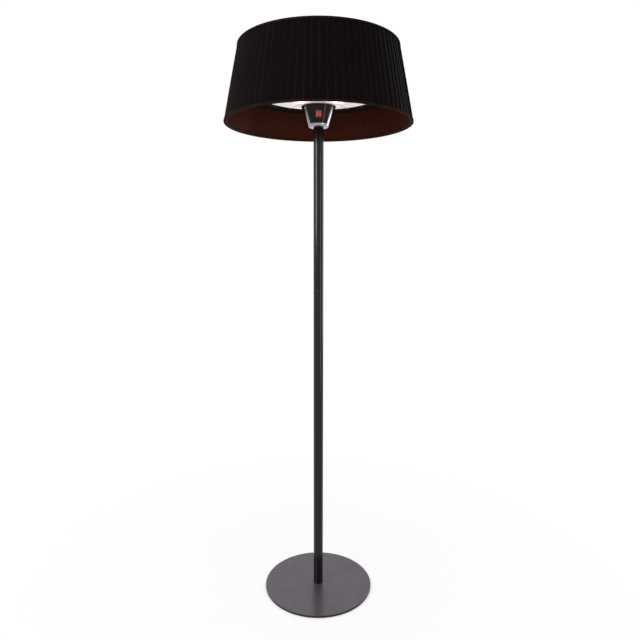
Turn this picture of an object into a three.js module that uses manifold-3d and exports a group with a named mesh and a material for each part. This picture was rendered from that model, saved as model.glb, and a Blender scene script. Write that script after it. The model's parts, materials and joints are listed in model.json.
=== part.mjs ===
// Electric infrared patio heater built like a floor lamp. A round steel base carries a three-piece pole.
// On the pole sit a bright control cup with two rocker switches, a round heater head with two ring lamps
// behind a wire guard, and a pleated fabric shade that hangs from a spider on top of the head.
// Millimetres, +Z up. The origin is on the floor under the pole, and the switches face -Y.

import * as THREE from 'three';
import { mergeVertices } from 'three/addons/utils/BufferGeometryUtils.js';
import Module from 'manifold-3d';

// ---------------------------------------------------------------- driving dimensions

const FIT = 0.3; // gap between two pieces that seat on each other

const FOOT_COUNT = 6;
const FOOT_RADIUS = 12;
const FOOT_HEIGHT = 2;
const FOOT_INSET = 30; // from the rim of the base to the middle of a foot

const BASE_RADIUS = 215;
const BASE_THICKNESS = 8;
const BASE_EDGE_BREAK = 1;

const BASE_SCREW_RADIUS = 5;
const BASE_SCREW_LENGTH = 34;
const BASE_SCREW_HEAD_RADIUS = 10;
const BASE_SCREW_HEAD_DEPTH = 5;
const BASE_SCREW_SOCKET = 3.5;
const BASE_SCREW_SOCKET_DEPTH = 3.5;

const POLE_LENGTH = 1804;
const POLE_RADIUS = 19;
const POLE_WALL = 1.5;
const POLE_SECTIONS = 3;
const POLE_PLUG_LENGTH = 36;
const COUPLER_LENGTH = 80;
const COUPLER_WALL = 3;

const GLAND_ABOVE_BASE = 62;
const GLAND_RADIUS = 9;
const GLAND_STANDS_OUT = 4;
const GLAND_NECK_RADIUS = 6;
const GLAND_NECK_LENGTH = 4; // behind the pole's wall

const LEAD_RADIUS = 3.5;
const LEAD_BEND_RADIUS = 14;
const LEAD_END_OFFSET = 11.3; // from the pole's axis, where the lead goes through the spigot
const LEAD_SHIFT_LENGTH = 90;

const SPIGOT_DEPTH = 40;
const SPIGOT_FLANGE_RADIUS = 25;
const SPIGOT_FLANGE = 3;
const ROD_RADIUS = 5;
const ROD_THREAD_DEPTH = 26;

const CUP_HEIGHT = 70;
const CUP_TOP_RADIUS = 62;
const CUP_SIDE_ANGLE = 20.7; // degrees from upright
const CUP_CORNER_RADIUS = 10;
const CUP_WALL = 2;

const PANEL_HALF_ANGLE = 48; // degrees either side of the front
const PANEL_ABOVE_FLOOR = 10; // from the cup's bottom to the panel's lower edge
const PANEL_PROUD = 0.8;
const PANEL_LIP = 2; // thickness of the lip behind the cup's wall
const PANEL_LIP_HALF_ANGLE = 63;
const PANEL_LIP_OVERLAP = 3;

const PANEL_SCREW_ANGLE = 56.5;
const PANEL_SCREW_BELOW_TOP = 7;
const PANEL_SCREW_RADIUS = 1.5;
const PANEL_SCREW_HEAD_RADIUS = 3.4;
const PANEL_SCREW_HEAD_HEIGHT = 1.8;
const PANEL_SCREW_LENGTH = 7;

const SWITCH_BELOW_TOP = 31; // from the cup's top to the middle of the switch, upright
const SWITCH_WIDTH = 21.6;
const SWITCH_HEIGHT = 25.4;
const SWITCH_DEPTH = 17;
const BEZEL_MARGIN = 2.4;
const BEZEL_THICKNESS = 2.4;
const KEY_COUNT = 2;
const KEY_WIDTH = 8.2;
const KEY_REACH = 10; // from the pivot to the key's curved ends
const KEY_RISE = 5; // from the pivot up to the ends of the key's face
const KEY_DIP = 2.6; // from the pivot up to the middle of the key's face
const KEY_TILT = 10; // degrees either side of level
const KEY_PIVOT_DEPTH = 1.2;
const KEY_PIN_RADIUS = 1;
const SWITCH_RIB = 1.2;

const GASKET_THICKNESS = 2;
const GASKET_WIDTH = 5;
const LID_RADIUS = 66;
const LID_HEIGHT = 6;
const LID_PLATE = 3;
const LID_RIM_WIDTH = 9;
const LID_ROUND = 1.5;
const WIRE_HOLE_RADIUS = 6;
const WIRE_HOLE_OFFSET = 22;

const STEM_BOTTOM_RADIUS = 48;
const STEM_TOP_RADIUS = 44;
const STEM_WALL = 1.5;

const TERMINAL_BLOCK = { width: 15, depth: 20, height: 16 };
const TILT_SWITCH = { width: 15, depth: 18, height: 18 };
const CUTOUT_RADIUS = 9;
const CUTOUT_HEIGHT = 7;
const CUTOUT_OFFSET = 32;

const HEAD_ABOVE_LID = 36; // from the lid's top to the carrier ring
const CARRIER_TO_LINING = 17; // from the carrier ring's rim to the shade's lining
const CARRIER_THICKNESS = 1.5;
const CARRIER_LIP = 8;
const MOUTH_RADIUS = 230;
const REFLECTOR_DEPTH = 34;
const REFLECTOR_WALL = 1.2;
const REFLECTOR_FLAT_RADIUS = 70;
const REFLECTOR_RIM = 14;

const CASING_HEIGHT = 64;
const CASING_WALL = 1.2;
const CASING_FLANGE = 22;
const CASING_DRAFT = 12; // the side wall leans in by this much
const CASING_ROUND = 30;
const CASING_SCREW_COUNT = 4;
const CASING_SCREW_RADIUS = 2;
const CASING_SCREW_HEAD_RADIUS = 4;
const CASING_SCREW_HEAD_HEIGHT = 2.4;
const CASING_SCREW_LENGTH = 8;

const OUTER_LAMP_RADIUS = 150;
const INNER_LAMP_RADIUS = 112;
const LAMP_TUBE_RADIUS = 6;
const LAMP_TUBE_WALL = 1.2;
const LAMP_ABOVE_MOUTH = 8;
const LAMP_END_SPAN = 37; // along the ring, from the back to each end of the tube
const FILAMENT_RADIUS = 1.2;
const CAP_RADIUS = 8;
const CAP_LENGTH = 20;
const CAP_SPIGOT_RADIUS = 3.4;
const CAP_SPIGOT_LENGTH = 6;
const CAP_STEM_RADIUS = 4;
const CAP_STEM_ABOVE_REFLECTOR = 6;
const CLIP_WIDTH = 8;
const CLIP_STRIP = 1.2;
const CLIP_SHARES = [0.3, 0.7]; // of the way along the tube

const GUARD_WIRE_RADIUS = 1.2;
const GUARD_SPOKES = 12;
const GUARD_RING_COUNT = 3;

const SHADE_HEIGHT = 265;
const SHADE_BOTTOM_RADIUS = 345;
const SHADE_TOP_RADIUS = 292;
const SHADE_RIM_BELOW_HEAD = 104; // from the carrier ring down to the shade's rim
const PLEAT_COUNT = 88;
const PLEAT_DEPTH = 2.2;
const FABRIC_THICKNESS = 1;
const LINING_THICKNESS = 1;
const TRIM_HEIGHT = 7;
const TRIM_THICKNESS = 0.8;
const RING_WIRE_RADIUS = 3;

const SPIDER_ARMS = 4;
const SPIDER_ARM_RADIUS = 3;
const SPIDER_HUB_RADIUS = 24;
const SPIDER_HUB_THICKNESS = 4;
const NUT_RADIUS = 14;
const NUT_HEIGHT = 18;
const NUT_THREAD_DEPTH = 12;

// ---------------------------------------------------------------- levels, from the floor up

const baseBottom = FOOT_HEIGHT;
const baseTop = baseBottom + BASE_THICKNESS;
const poleTop = baseTop + POLE_LENGTH;
const poleBore = POLE_RADIUS - POLE_WALL;
const sectionLength = (POLE_LENGTH - (POLE_SECTIONS - 1) * FIT) / POLE_SECTIONS;
const glandHeight = baseTop + GLAND_ABOVE_BASE;

const cupBottom = poleTop;
const cupTop = cupBottom + CUP_HEIGHT;
const spigotTop = cupBottom + CUP_WALL + SPIGOT_FLANGE;
const gasketBottom = cupTop + FIT;
const lidBottom = gasketBottom + GASKET_THICKNESS + FIT;
const lidTop = lidBottom + LID_HEIGHT;

const carrierBottom = lidTop + HEAD_ABOVE_LID;
const mouth = carrierBottom + CARRIER_THICKNESS + FIT; // underside of the reflector's rim
const reflectorTop = mouth + REFLECTOR_DEPTH + REFLECTOR_WALL;
const casingBottom = mouth + REFLECTOR_WALL + FIT;
const casingTop = casingBottom + CASING_HEIGHT;
const lampHeight = mouth + LAMP_ABOVE_MOUTH;
const guardHeight = carrierBottom - FIT - GUARD_WIRE_RADIUS;

const shadeBottom = carrierBottom - SHADE_RIM_BELOW_HEAD;
const shadeTop = shadeBottom + SHADE_HEIGHT;
const hubBottom = casingTop + FIT;
const hubTop = hubBottom + SPIDER_HUB_THICKNESS;
const nutBottom = hubTop + FIT;
const rodTop = nutBottom + NUT_THREAD_DEPTH - FIT;

// ---------------------------------------------------------------- solids

const wasm = await Module();
wasm.setup();

const radians = THREE.MathUtils.degToRad;

function manifold(positions, triangles) {
  return new wasm.Manifold(new wasm.Mesh({ numProp: 3, vertProperties: positions, triVerts: triangles }));
}

// A closed geometry as a solid whose faces point out. Triangles without area are left out.
function solid(geometry) {
  const bare = geometry.index ? geometry.toNonIndexed() : geometry.clone();
  bare.deleteAttribute('normal');
  bare.deleteAttribute('uv');
  const merged = mergeVertices(bare, 1e-4);
  const index = merged.index.array;
  const triangles = [];
  for (let i = 0; i < index.length; i += 3) {
    const [a, b, c] = [index[i], index[i + 1], index[i + 2]];
    if (a !== b && b !== c && c !== a) triangles.push(a, b, c);
  }
  const positions = merged.attributes.position.array;
  const made = manifold(positions, new Uint32Array(triangles));
  return made.volume() < 0 ? manifold(positions, new Uint32Array(triangles.reverse())) : made;
}

function join(first, ...others) {
  return others.reduce((sum, other) => sum.add(other), first);
}

function cut(body, ...tools) {
  return tools.reduce((left, tool) => left.subtract(tool), body);
}

function geometryOf(made) {
  const { vertProperties, triVerts } = made.getMesh();
  const geometry = new THREE.BufferGeometry();
  geometry.setAttribute('position', new THREE.BufferAttribute(Float32Array.from(vertProperties), 3));
  geometry.setIndex(new THREE.BufferAttribute(Uint32Array.from(triVerts), 1));
  geometry.computeVertexNormals();
  return geometry;
}

const ROUND_SEGMENTS = 36;

// A closed outline of [radius, height] pairs, turned round the Z axis.
function turnedGeometry(outline, segments) {
  const closed = outline[0][0] === 0 ? outline : [...outline, outline[0]];
  const geometry = new THREE.LatheGeometry(closed.map(([r, z]) => new THREE.Vector2(r, z)), segments);
  return geometry.rotateX(Math.PI / 2);
}

function turned(outline, segments = ROUND_SEGMENTS) {
  return solid(turnedGeometry(outline, segments));
}

function ring(innerRadius, outerRadius, bottom, top, segments = ROUND_SEGMENTS) {
  return turned([[innerRadius, bottom], [outerRadius, bottom], [outerRadius, top], [innerRadius, top]], segments);
}

// A round bar along the Z axis of the given matrix, or of the part.
function bar(radius, bottom, top, { segments = 16, matrix = new THREE.Matrix4(), x = 0, y = 0 } = {}) {
  const geometry = new THREE.CylinderGeometry(radius, radius, top - bottom, segments);
  geometry.rotateX(Math.PI / 2).translate(x, y, (top + bottom) / 2).applyMatrix4(matrix);
  return solid(geometry);
}

function block(low, high, matrix = new THREE.Matrix4()) {
  const size = high.map((value, i) => value - low[i]);
  const geometry = new THREE.BoxGeometry(...size);
  geometry.translate(...low.map((value, i) => value + size[i] / 2)).applyMatrix4(matrix);
  return solid(geometry);
}

function polygon(radius, sides) {
  const turn = (2 * Math.PI) / sides;
  const points = Array.from({ length: sides }, (_, i) => (
    new THREE.Vector2(radius * Math.cos(i * turn), radius * Math.sin(i * turn))
  ));
  return points;
}

// A rod or, with a bore, a tube along a curve.
function swept(curve, radius, { steps, sides = 8, bore = 0 }) {
  const section = new THREE.Shape(polygon(radius, sides));
  if (bore > 0) section.holes.push(new THREE.Path(polygon(bore, sides).reverse()));
  return solid(new THREE.ExtrudeGeometry(section, { steps, extrudePath: curve, bevelEnabled: false }));
}

// A level arc round the Z axis, between two azimuths in degrees.
class LevelArc extends THREE.Curve {
  constructor(radius, height, from, to) {
    super();
    Object.assign(this, { radius, height, from, to });
  }

  getPoint(t, target = new THREE.Vector3()) {
    const azimuth = radians(this.from + (this.to - this.from) * t);
    return target.set(this.radius * Math.cos(azimuth), this.radius * Math.sin(azimuth), this.height);
  }
}

// A wedge round the Z axis, centred on an azimuth in degrees.
function wedge(azimuth, halfAngle, reach, bottom, top) {
  const points = [new THREE.Vector2(0, 0)];
  const steps = 6;
  for (let i = 0; i <= steps; i++) {
    const angle = radians(azimuth - halfAngle + (2 * halfAngle * i) / steps);
    points.push(new THREE.Vector2(reach * Math.cos(angle), reach * Math.sin(angle)));
  }
  const geometry = new THREE.ExtrudeGeometry(new THREE.Shape(points), { depth: top - bottom, bevelEnabled: false });
  return solid(geometry.translate(0, 0, bottom));
}

function turnedAbout(azimuth) {
  return new THREE.Matrix4().makeRotationZ(radians(azimuth));
}

// ---------------------------------------------------------------- materials

function finish(color, roughness, metalness, more = {}) {
  return new THREE.MeshStandardMaterial({ color, roughness, metalness, ...more });
}

const finishes = {
  basePaint: finish(0x4a474c, 0.45, 0.3),
  polePaint: finish(0x2b2726, 0.3, 0.4),
  zincSteel: finish(0x9a9a9c, 0.35, 0.9),
  rubber: finish(0x161616, 0.9, 0),
  cable: finish(0x1b1b1b, 0.6, 0),
  chrome: finish(0xd6d3d6, 0.08, 1),
  panelGloss: finish(0x0c0a0b, 0.12, 0),
  blackPlastic: finish(0x121212, 0.45, 0),
  redKey: finish(0xd8321c, 0.2, 0, { emissive: 0x5a0a04 }),
  brass: finish(0xb08a45, 0.3, 1),
  aluminium: finish(0xe9e8e4, 0.2, 1),
  casingPaint: finish(0x131112, 0.6, 0.2),
  quartz: finish(0xffe9cf, 0.05, 0, { transparent: true, opacity: 0.4 }),
  filament: finish(0xffb45c, 0.5, 0, { emissive: 0xff8a2a }),
  ceramic: finish(0xe8e2d6, 0.6, 0),
  steelWire: finish(0xbdbdbf, 0.2, 1),
  shadeFabric: finish(0x17120f, 0.85, 0),
  shadeLining: finish(0x3c1f14, 0.5, 0),
  shadeTrim: finish(0x100d0c, 0.8, 0),
};

const heater = new THREE.Group();
heater.name = 'infrared_patio_heater';

function add(name, made, material) {
  const mesh = new THREE.Mesh(geometryOf(made), material);
  mesh.name = name;
  heater.add(mesh);
}

// ---------------------------------------------------------------- base

function basePlate() {
  const bore = BASE_SCREW_RADIUS + FIT;
  return turned([
    [bore, baseTop],
    [BASE_RADIUS - BASE_EDGE_BREAK, baseTop],
    [BASE_RADIUS, baseTop - BASE_EDGE_BREAK],
    [BASE_RADIUS, baseBottom],
    [BASE_SCREW_HEAD_RADIUS + FIT, baseBottom],
    [bore, baseBottom + BASE_SCREW_HEAD_DEPTH],
  ], 60);
}

function footPad(azimuth) {
  const circle = BASE_RADIUS - FOOT_INSET;
  const x = circle * Math.cos(radians(azimuth));
  const y = circle * Math.sin(radians(azimuth));
  return bar(FOOT_RADIUS, 0, FOOT_HEIGHT, { segments: 16, x, y });
}

function baseScrew() {
  const screw = turned([
    [0, baseBottom],
    [BASE_SCREW_HEAD_RADIUS, baseBottom],
    [BASE_SCREW_RADIUS, baseBottom + BASE_SCREW_HEAD_DEPTH],
    [BASE_SCREW_RADIUS, baseBottom + BASE_SCREW_LENGTH],
    [0, baseBottom + BASE_SCREW_LENGTH],
  ], 24);
  const socketEnd = baseBottom + BASE_SCREW_SOCKET_DEPTH;
  return cut(screw, bar(BASE_SCREW_SOCKET, baseBottom - 1, socketEnd, { segments: 6 }));
}

add('base_plate', basePlate(), finishes.basePaint);
for (let i = 0; i < FOOT_COUNT; i++) {
  add(`foot_pad_${i + 1}`, footPad((360 * i) / FOOT_COUNT), finishes.rubber);
}
add('base_screw', baseScrew(), finishes.zincSteel);

// ---------------------------------------------------------------- pole

const POLE_SEGMENTS = 24;

// Turns the Z axis to +Y, where the lead goes into the pole.
const rearward = new THREE.Matrix4().makeRotationX(-Math.PI / 2).setPosition(0, 0, glandHeight);

function poleSection(index) {
  const bottom = baseTop + index * (sectionLength + FIT);
  return ring(poleBore, POLE_RADIUS, bottom, bottom + sectionLength, POLE_SEGMENTS);
}

function lowerPole() {
  const hole = bar(GLAND_NECK_RADIUS + FIT, 0, POLE_RADIUS + 1, { matrix: rearward });
  return cut(poleSection(0), hole);
}

function poleCoupler(index) {
  const middle = baseTop + index * (sectionLength + FIT) - FIT / 2;
  const radius = poleBore - FIT;
  const half = COUPLER_LENGTH / 2;
  return ring(radius - COUPLER_WALL, radius, middle - half, middle + half, POLE_SEGMENTS);
}

function polePlug() {
  const top = baseTop + POLE_PLUG_LENGTH;
  return ring(BASE_SCREW_RADIUS + FIT, poleBore - FIT, baseTop + FIT, top, POLE_SEGMENTS);
}

function cableGland() {
  const outside = POLE_RADIUS + GLAND_STANDS_OUT;
  const head = bar(GLAND_RADIUS, poleBore - POLE_WALL, outside, { segments: 24, matrix: rearward });
  const seat = bar(POLE_RADIUS + FIT, glandHeight - 2 * GLAND_RADIUS, glandHeight + 2 * GLAND_RADIUS, {
    segments: POLE_SEGMENTS,
  });
  const neckStart = poleBore - GLAND_NECK_LENGTH;
  const neck = bar(GLAND_NECK_RADIUS, neckStart, outside, { matrix: rearward });
  const bore = bar(LEAD_RADIUS + FIT, 0, outside + 1, { matrix: rearward });
  return cut(join(cut(head, seat), neck), bore);
}

// The mains lead inside the pole: in through the gland, up the pole, and off the axis into the spigot.
function internalLead() {
  const at = (x, y, z) => new THREE.Vector3(x, y, z);
  const corner = new THREE.QuadraticBezierCurve3(
    at(0, LEAD_BEND_RADIUS, glandHeight),
    at(0, 0, glandHeight),
    at(0, 0, glandHeight + LEAD_BEND_RADIUS),
  );
  const overlap = 0.5;
  const entry = bar(LEAD_RADIUS, LEAD_BEND_RADIUS - overlap, POLE_RADIUS, { segments: 8, matrix: rearward });
  const shiftTop = cupBottom - SPIGOT_DEPTH - FIT;
  const shiftBottom = shiftTop - LEAD_SHIFT_LENGTH;
  const shift = new THREE.CubicBezierCurve3(
    at(0, 0, shiftBottom),
    at(0, 0, shiftBottom + LEAD_SHIFT_LENGTH / 2),
    at(LEAD_END_OFFSET, 0, shiftTop - LEAD_SHIFT_LENGTH / 2),
    at(LEAD_END_OFFSET, 0, shiftTop),
  );
  const rise = bar(LEAD_RADIUS, glandHeight + LEAD_BEND_RADIUS - overlap, shiftBottom + overlap, { segments: 8 });
  const tail = bar(LEAD_RADIUS, shiftTop - overlap, spigotTop, { segments: 8, x: LEAD_END_OFFSET });
  return join(entry, swept(corner, LEAD_RADIUS, { steps: 6 }), rise, swept(shift, LEAD_RADIUS, { steps: 6 }), tail);
}

add('pole_plug', polePlug(), finishes.zincSteel);
add('lower_pole', lowerPole(), finishes.polePaint);
add('lower_pole_coupler', poleCoupler(1), finishes.zincSteel);
add('middle_pole', poleSection(1), finishes.polePaint);
add('upper_pole_coupler', poleCoupler(2), finishes.zincSteel);
add('upper_pole', poleSection(2), finishes.polePaint);
add('cable_gland', cableGland(), finishes.rubber);
add('internal_lead', internalLead(), finishes.cable);

// ---------------------------------------------------------------- control cup

const FRONT = -90; // azimuth of the switches
const slope = radians(CUP_SIDE_ANGLE);
const CUP_SEGMENTS = 40;

// Radius of the cup's outside at a height, moved out along its normal by offset.
function coneRadius(height, offset = 0) {
  return CUP_TOP_RADIUS - (cupTop - height) * Math.tan(slope) + offset / Math.cos(slope);
}

// Radius of the flat bottom inside the corner, found from the corner's circle touching the side.
const cupFlatRadius = coneRadius(cupBottom + CUP_CORNER_RADIUS, -CUP_CORNER_RADIUS);

// The rounded corner between bottom and side, offset inwards by inset.
function cupCorner(inset) {
  const radius = CUP_CORNER_RADIUS - inset;
  const sweep = Math.PI / 2 - slope;
  const steps = 3;
  return Array.from({ length: steps + 1 }, (_, i) => {
    const angle = (sweep * i) / steps;
    return [
      cupFlatRadius + radius * Math.sin(angle),
      cupBottom + CUP_CORNER_RADIUS - radius * Math.cos(angle),
    ];
  });
}

// A band of the cup's cone between two heights and two offsets from its outside.
function coneBand(bottom, top, inner, outer) {
  return turned([
    [coneRadius(bottom, inner), bottom],
    [coneRadius(bottom, outer), bottom],
    [coneRadius(top, outer), top],
    [coneRadius(top, inner), top],
  ], CUP_SEGMENTS);
}

// Stands on the cup's side at an azimuth and a height: X along the side, Y up the slope, Z out of it.
function onCup(azimuth, height) {
  const angle = radians(azimuth);
  const radius = coneRadius(height);
  const out = new THREE.Vector3(
    Math.cos(slope) * Math.cos(angle), Math.cos(slope) * Math.sin(angle), -Math.sin(slope),
  );
  const along = new THREE.Vector3(-Math.sin(angle), Math.cos(angle), 0);
  const up = out.clone().cross(along);
  const matrix = new THREE.Matrix4().makeBasis(along, up, out);
  return matrix.setPosition(radius * Math.cos(angle), radius * Math.sin(angle), height);
}

const panelBottom = cupBottom + PANEL_ABOVE_FLOOR;
const panelScrewSpots = [FRONT - PANEL_SCREW_ANGLE, FRONT + PANEL_SCREW_ANGLE]
  .map((azimuth) => onCup(azimuth, cupTop - PANEL_SCREW_BELOW_TOP));

function panelScrewHole(spot) {
  return bar(PANEL_SCREW_RADIUS + FIT, -2 * PANEL_SCREW_LENGTH, PANEL_SCREW_LENGTH, { segments: 12, matrix: spot });
}

function controlCup() {
  const hole = poleBore;
  const shell = turned([
    [hole, cupBottom],
    ...cupCorner(0),
    [CUP_TOP_RADIUS, cupTop],
    [coneRadius(cupTop, -CUP_WALL), cupTop],
    ...cupCorner(CUP_WALL).reverse(),
    [hole, cupBottom + CUP_WALL],
  ], CUP_SEGMENTS);
  const window = wedge(FRONT, PANEL_HALF_ANGLE, 2 * CUP_TOP_RADIUS, panelBottom, cupTop + 1);
  return cut(shell, window, ...panelScrewSpots.map(panelScrewHole));
}

const switchSpot = onCup(FRONT, cupTop - SWITCH_BELOW_TOP);
const bezelWidth = SWITCH_WIDTH / 2 + BEZEL_MARGIN;
const bezelHeight = SWITCH_HEIGHT / 2 + BEZEL_MARGIN;
// The cup's side curves away from the bezel, which sits in a flat recess as deep as that.
const bezelSeat = -(coneRadius(cupTop - SWITCH_BELOW_TOP)
  - Math.sqrt(coneRadius(cupTop - SWITCH_BELOW_TOP) ** 2 - bezelWidth ** 2)) * Math.cos(slope);
const bezelBack = bezelSeat + FIT;
const bezelFront = bezelBack + BEZEL_THICKNESS;

function switchPanel() {
  const degreesOfFit = THREE.MathUtils.radToDeg(FIT / coneRadius(panelBottom));
  const face = coneBand(panelBottom + FIT, cupTop, -CUP_WALL - FIT, PANEL_PROUD)
    .intersect(wedge(FRONT, PANEL_HALF_ANGLE - degreesOfFit, 2 * CUP_TOP_RADIUS, cupBottom, cupTop + 1));
  const lipBottom = panelBottom - PANEL_LIP_OVERLAP;
  const lip = coneBand(lipBottom, cupTop, -CUP_WALL - FIT - PANEL_LIP, -CUP_WALL - FIT)
    .intersect(wedge(FRONT, PANEL_LIP_HALF_ANGLE, 2 * CUP_TOP_RADIUS, cupBottom, cupTop + 1));
  const recess = block(
    [-bezelWidth - FIT, -bezelHeight - FIT, bezelSeat],
    [bezelWidth + FIT, bezelHeight + FIT, BEZEL_THICKNESS + 1],
    switchSpot,
  );
  const hole = block(
    [-SWITCH_WIDTH / 2 - FIT, -SWITCH_HEIGHT / 2 - FIT, -SWITCH_DEPTH],
    [SWITCH_WIDTH / 2 + FIT, SWITCH_HEIGHT / 2 + FIT, BEZEL_THICKNESS],
    switchSpot,
  );
  return cut(join(face, lip), recess, hole, ...panelScrewSpots.map(panelScrewHole));
}

function panelScrew(spot) {
  const seat = FIT;
  const outline = [
    [0, -PANEL_SCREW_LENGTH],
    [PANEL_SCREW_RADIUS, -PANEL_SCREW_LENGTH],
    [PANEL_SCREW_RADIUS, seat],
    [PANEL_SCREW_HEAD_RADIUS, seat],
    [PANEL_SCREW_HEAD_RADIUS * 0.8, seat + PANEL_SCREW_HEAD_HEIGHT * 0.7],
    [0, seat + PANEL_SCREW_HEAD_HEIGHT],
  ];
  return solid(turnedGeometry(outline, 16).applyMatrix4(spot));
}

add('control_cup', controlCup(), finishes.chrome);
add('switch_panel', switchPanel(), finishes.panelGloss);
add('panel_screw_left', panelScrew(panelScrewSpots[0]), finishes.chrome);
add('panel_screw_right', panelScrew(panelScrewSpots[1]), finishes.chrome);

// ---------------------------------------------------------------- rocker switch

const wellWidth = KEY_WIDTH + 2 * FIT;
const wellReach = KEY_REACH + FIT;
const wellPitch = wellWidth + SWITCH_RIB;
const keyDepth = KEY_RISE + 0.5; // from the pivot down to the key's underside
const keyPivot = bezelFront - KEY_PIVOT_DEPTH - BEZEL_THICKNESS / 2;
const keyMiddles = Array.from({ length: KEY_COUNT }, (_, i) => (i - (KEY_COUNT - 1) / 2) * wellPitch);

// The pin's line lies along X through the switch, at the pivot's depth.
const pinLine = new THREE.Matrix4().makeRotationY(Math.PI / 2);
const pinSpot = switchSpot.clone().multiply(new THREE.Matrix4().makeTranslation(0, 0, keyPivot)).multiply(pinLine);
const pinHalf = SWITCH_WIDTH / 2 - FIT;

function switchBody() {
  const bezel = block([-bezelWidth, -bezelHeight, bezelBack], [bezelWidth, bezelHeight, bezelFront], switchSpot);
  const box = block(
    [-SWITCH_WIDTH / 2, -SWITCH_HEIGHT / 2, -SWITCH_DEPTH],
    [SWITCH_WIDTH / 2, SWITCH_HEIGHT / 2, bezelFront - BEZEL_THICKNESS / 2],
    switchSpot,
  );
  const wellFloor = keyPivot - Math.hypot(keyDepth, KEY_REACH / 3) - 2 * FIT;
  const wells = keyMiddles.map((x) => block(
    [x - wellWidth / 2, -wellReach, wellFloor],
    [x + wellWidth / 2, wellReach, bezelFront + 1],
    switchSpot,
  ));
  const pinHole = bar(KEY_PIN_RADIUS + FIT, -SWITCH_WIDTH, SWITCH_WIDTH, { segments: 12, matrix: pinSpot });
  return cut(join(bezel, box), ...wells, pinHole);
}

// A key seen from its side: curved ends round the pivot, a face that dips in the middle.
function rockerKey(middle) {
  const ends = [];
  const low = -keyDepth / 2;
  const steps = 3;
  for (let i = 0; i <= steps; i++) {
    const rise = low + ((KEY_RISE - low) * i) / steps;
    ends.push([Math.sqrt(KEY_REACH ** 2 - rise ** 2), rise]);
  }
  const side = [
    ...ends,
    [0, KEY_DIP],
    ...ends.map(([reach, rise]) => [-reach, rise]).reverse(),
    [-KEY_REACH / 3, -keyDepth],
    [KEY_REACH / 3, -keyDepth],
  ];
  const shape = new THREE.Shape(side.map(([y, z]) => new THREE.Vector2(y, z)));
  const bore = new THREE.Path(polygon(KEY_PIN_RADIUS + FIT, 12).reverse());
  shape.holes.push(bore);
  const geometry = new THREE.ExtrudeGeometry(shape, { depth: KEY_WIDTH, bevelEnabled: false });
  // The outline's X and Y become the switch's Y and Z, and the key stands pressed at its upper end.
  const stand = new THREE.Matrix4().makeBasis(
    new THREE.Vector3(0, 1, 0), new THREE.Vector3(0, 0, 1), new THREE.Vector3(1, 0, 0),
  );
  geometry.translate(0, 0, -KEY_WIDTH / 2).applyMatrix4(stand).rotateX(-radians(KEY_TILT));
  geometry.translate(middle, 0, keyPivot).applyMatrix4(switchSpot);
  return solid(geometry);
}

add('switch_body', switchBody(), finishes.blackPlastic);
add('rocker_key_left', rockerKey(keyMiddles[0]), finishes.redKey);
add('rocker_key_right', rockerKey(keyMiddles[KEY_COUNT - 1]), finishes.redKey);
add('rocker_pin', bar(KEY_PIN_RADIUS, -pinHalf, pinHalf, { segments: 12, matrix: pinSpot }), finishes.zincSteel);

// ---------------------------------------------------------------- inside the cup

function poleSpigot() {
  const radius = poleBore - FIT;
  const body = turned([
    [ROD_RADIUS + FIT, cupBottom - SPIGOT_DEPTH],
    [radius, cupBottom - SPIGOT_DEPTH],
    [radius, cupBottom + CUP_WALL + FIT],
    [SPIGOT_FLANGE_RADIUS, cupBottom + CUP_WALL + FIT],
    [SPIGOT_FLANGE_RADIUS, spigotTop],
    [ROD_RADIUS + FIT, spigotTop],
  ], POLE_SEGMENTS);
  const leadHole = bar(LEAD_RADIUS + FIT, cupBottom - SPIGOT_DEPTH - 1, spigotTop + 1, { x: LEAD_END_OFFSET });
  return cut(body, leadHole);
}

function standingBox({ width, depth, height }, side) {
  const near = ROD_RADIUS + 2 * FIT;
  const [from, to] = side > 0 ? [near, near + width] : [-near - width, -near];
  const bottom = spigotTop + FIT;
  return block([from, -depth / 2, bottom], [to, depth / 2, bottom + height]);
}

// Brass screw heads show in the block's top as three round wells.
function terminalBlock() {
  const body = standingBox(TERMINAL_BLOCK, 1);
  const top = spigotTop + FIT + TERMINAL_BLOCK.height;
  const x = ROD_RADIUS + 2 * FIT + TERMINAL_BLOCK.width / 2;
  const pitch = TERMINAL_BLOCK.depth / 3;
  const wells = [-1, 0, 1].map((i) => bar(pitch / 3, top - 3, top + 1, { segments: 10, x, y: i * pitch }));
  return cut(body, ...wells);
}

add('pole_spigot', poleSpigot(), finishes.zincSteel);
add('centre_rod', bar(ROD_RADIUS, spigotTop - ROD_THREAD_DEPTH, rodTop), finishes.zincSteel);
add('terminal_block', terminalBlock(), finishes.ceramic);
add('tilt_switch', standingBox(TILT_SWITCH, -1), finishes.blackPlastic);

// ---------------------------------------------------------------- lid and stem

function lidGasket() {
  const outer = CUP_TOP_RADIUS + PANEL_PROUD;
  return ring(outer - GASKET_WIDTH, outer, gasketBottom, gasketBottom + GASKET_THICKNESS);
}

function cupLid() {
  const plate = turned([
    [ROD_RADIUS + FIT, lidTop - LID_PLATE],
    [LID_RADIUS - LID_RIM_WIDTH, lidTop - LID_PLATE],
    [LID_RADIUS - LID_RIM_WIDTH, lidBottom],
    [LID_RADIUS, lidBottom],
    [LID_RADIUS, lidTop - LID_ROUND],
    [LID_RADIUS - LID_ROUND, lidTop],
    [ROD_RADIUS + FIT, lidTop],
  ]);
  const holes = [0, 180].map((azimuth) => bar(WIRE_HOLE_RADIUS, lidBottom, lidTop + 1, {
    matrix: turnedAbout(azimuth), x: WIRE_HOLE_OFFSET,
  }));
  return cut(plate, ...holes);
}

const stemBottom = lidTop + FIT;
const stemTop = mouth + REFLECTOR_DEPTH - FIT;

function stemRadius(height) {
  const share = (height - stemBottom) / (stemTop - stemBottom);
  return STEM_BOTTOM_RADIUS + (STEM_TOP_RADIUS - STEM_BOTTOM_RADIUS) * share;
}

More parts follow.
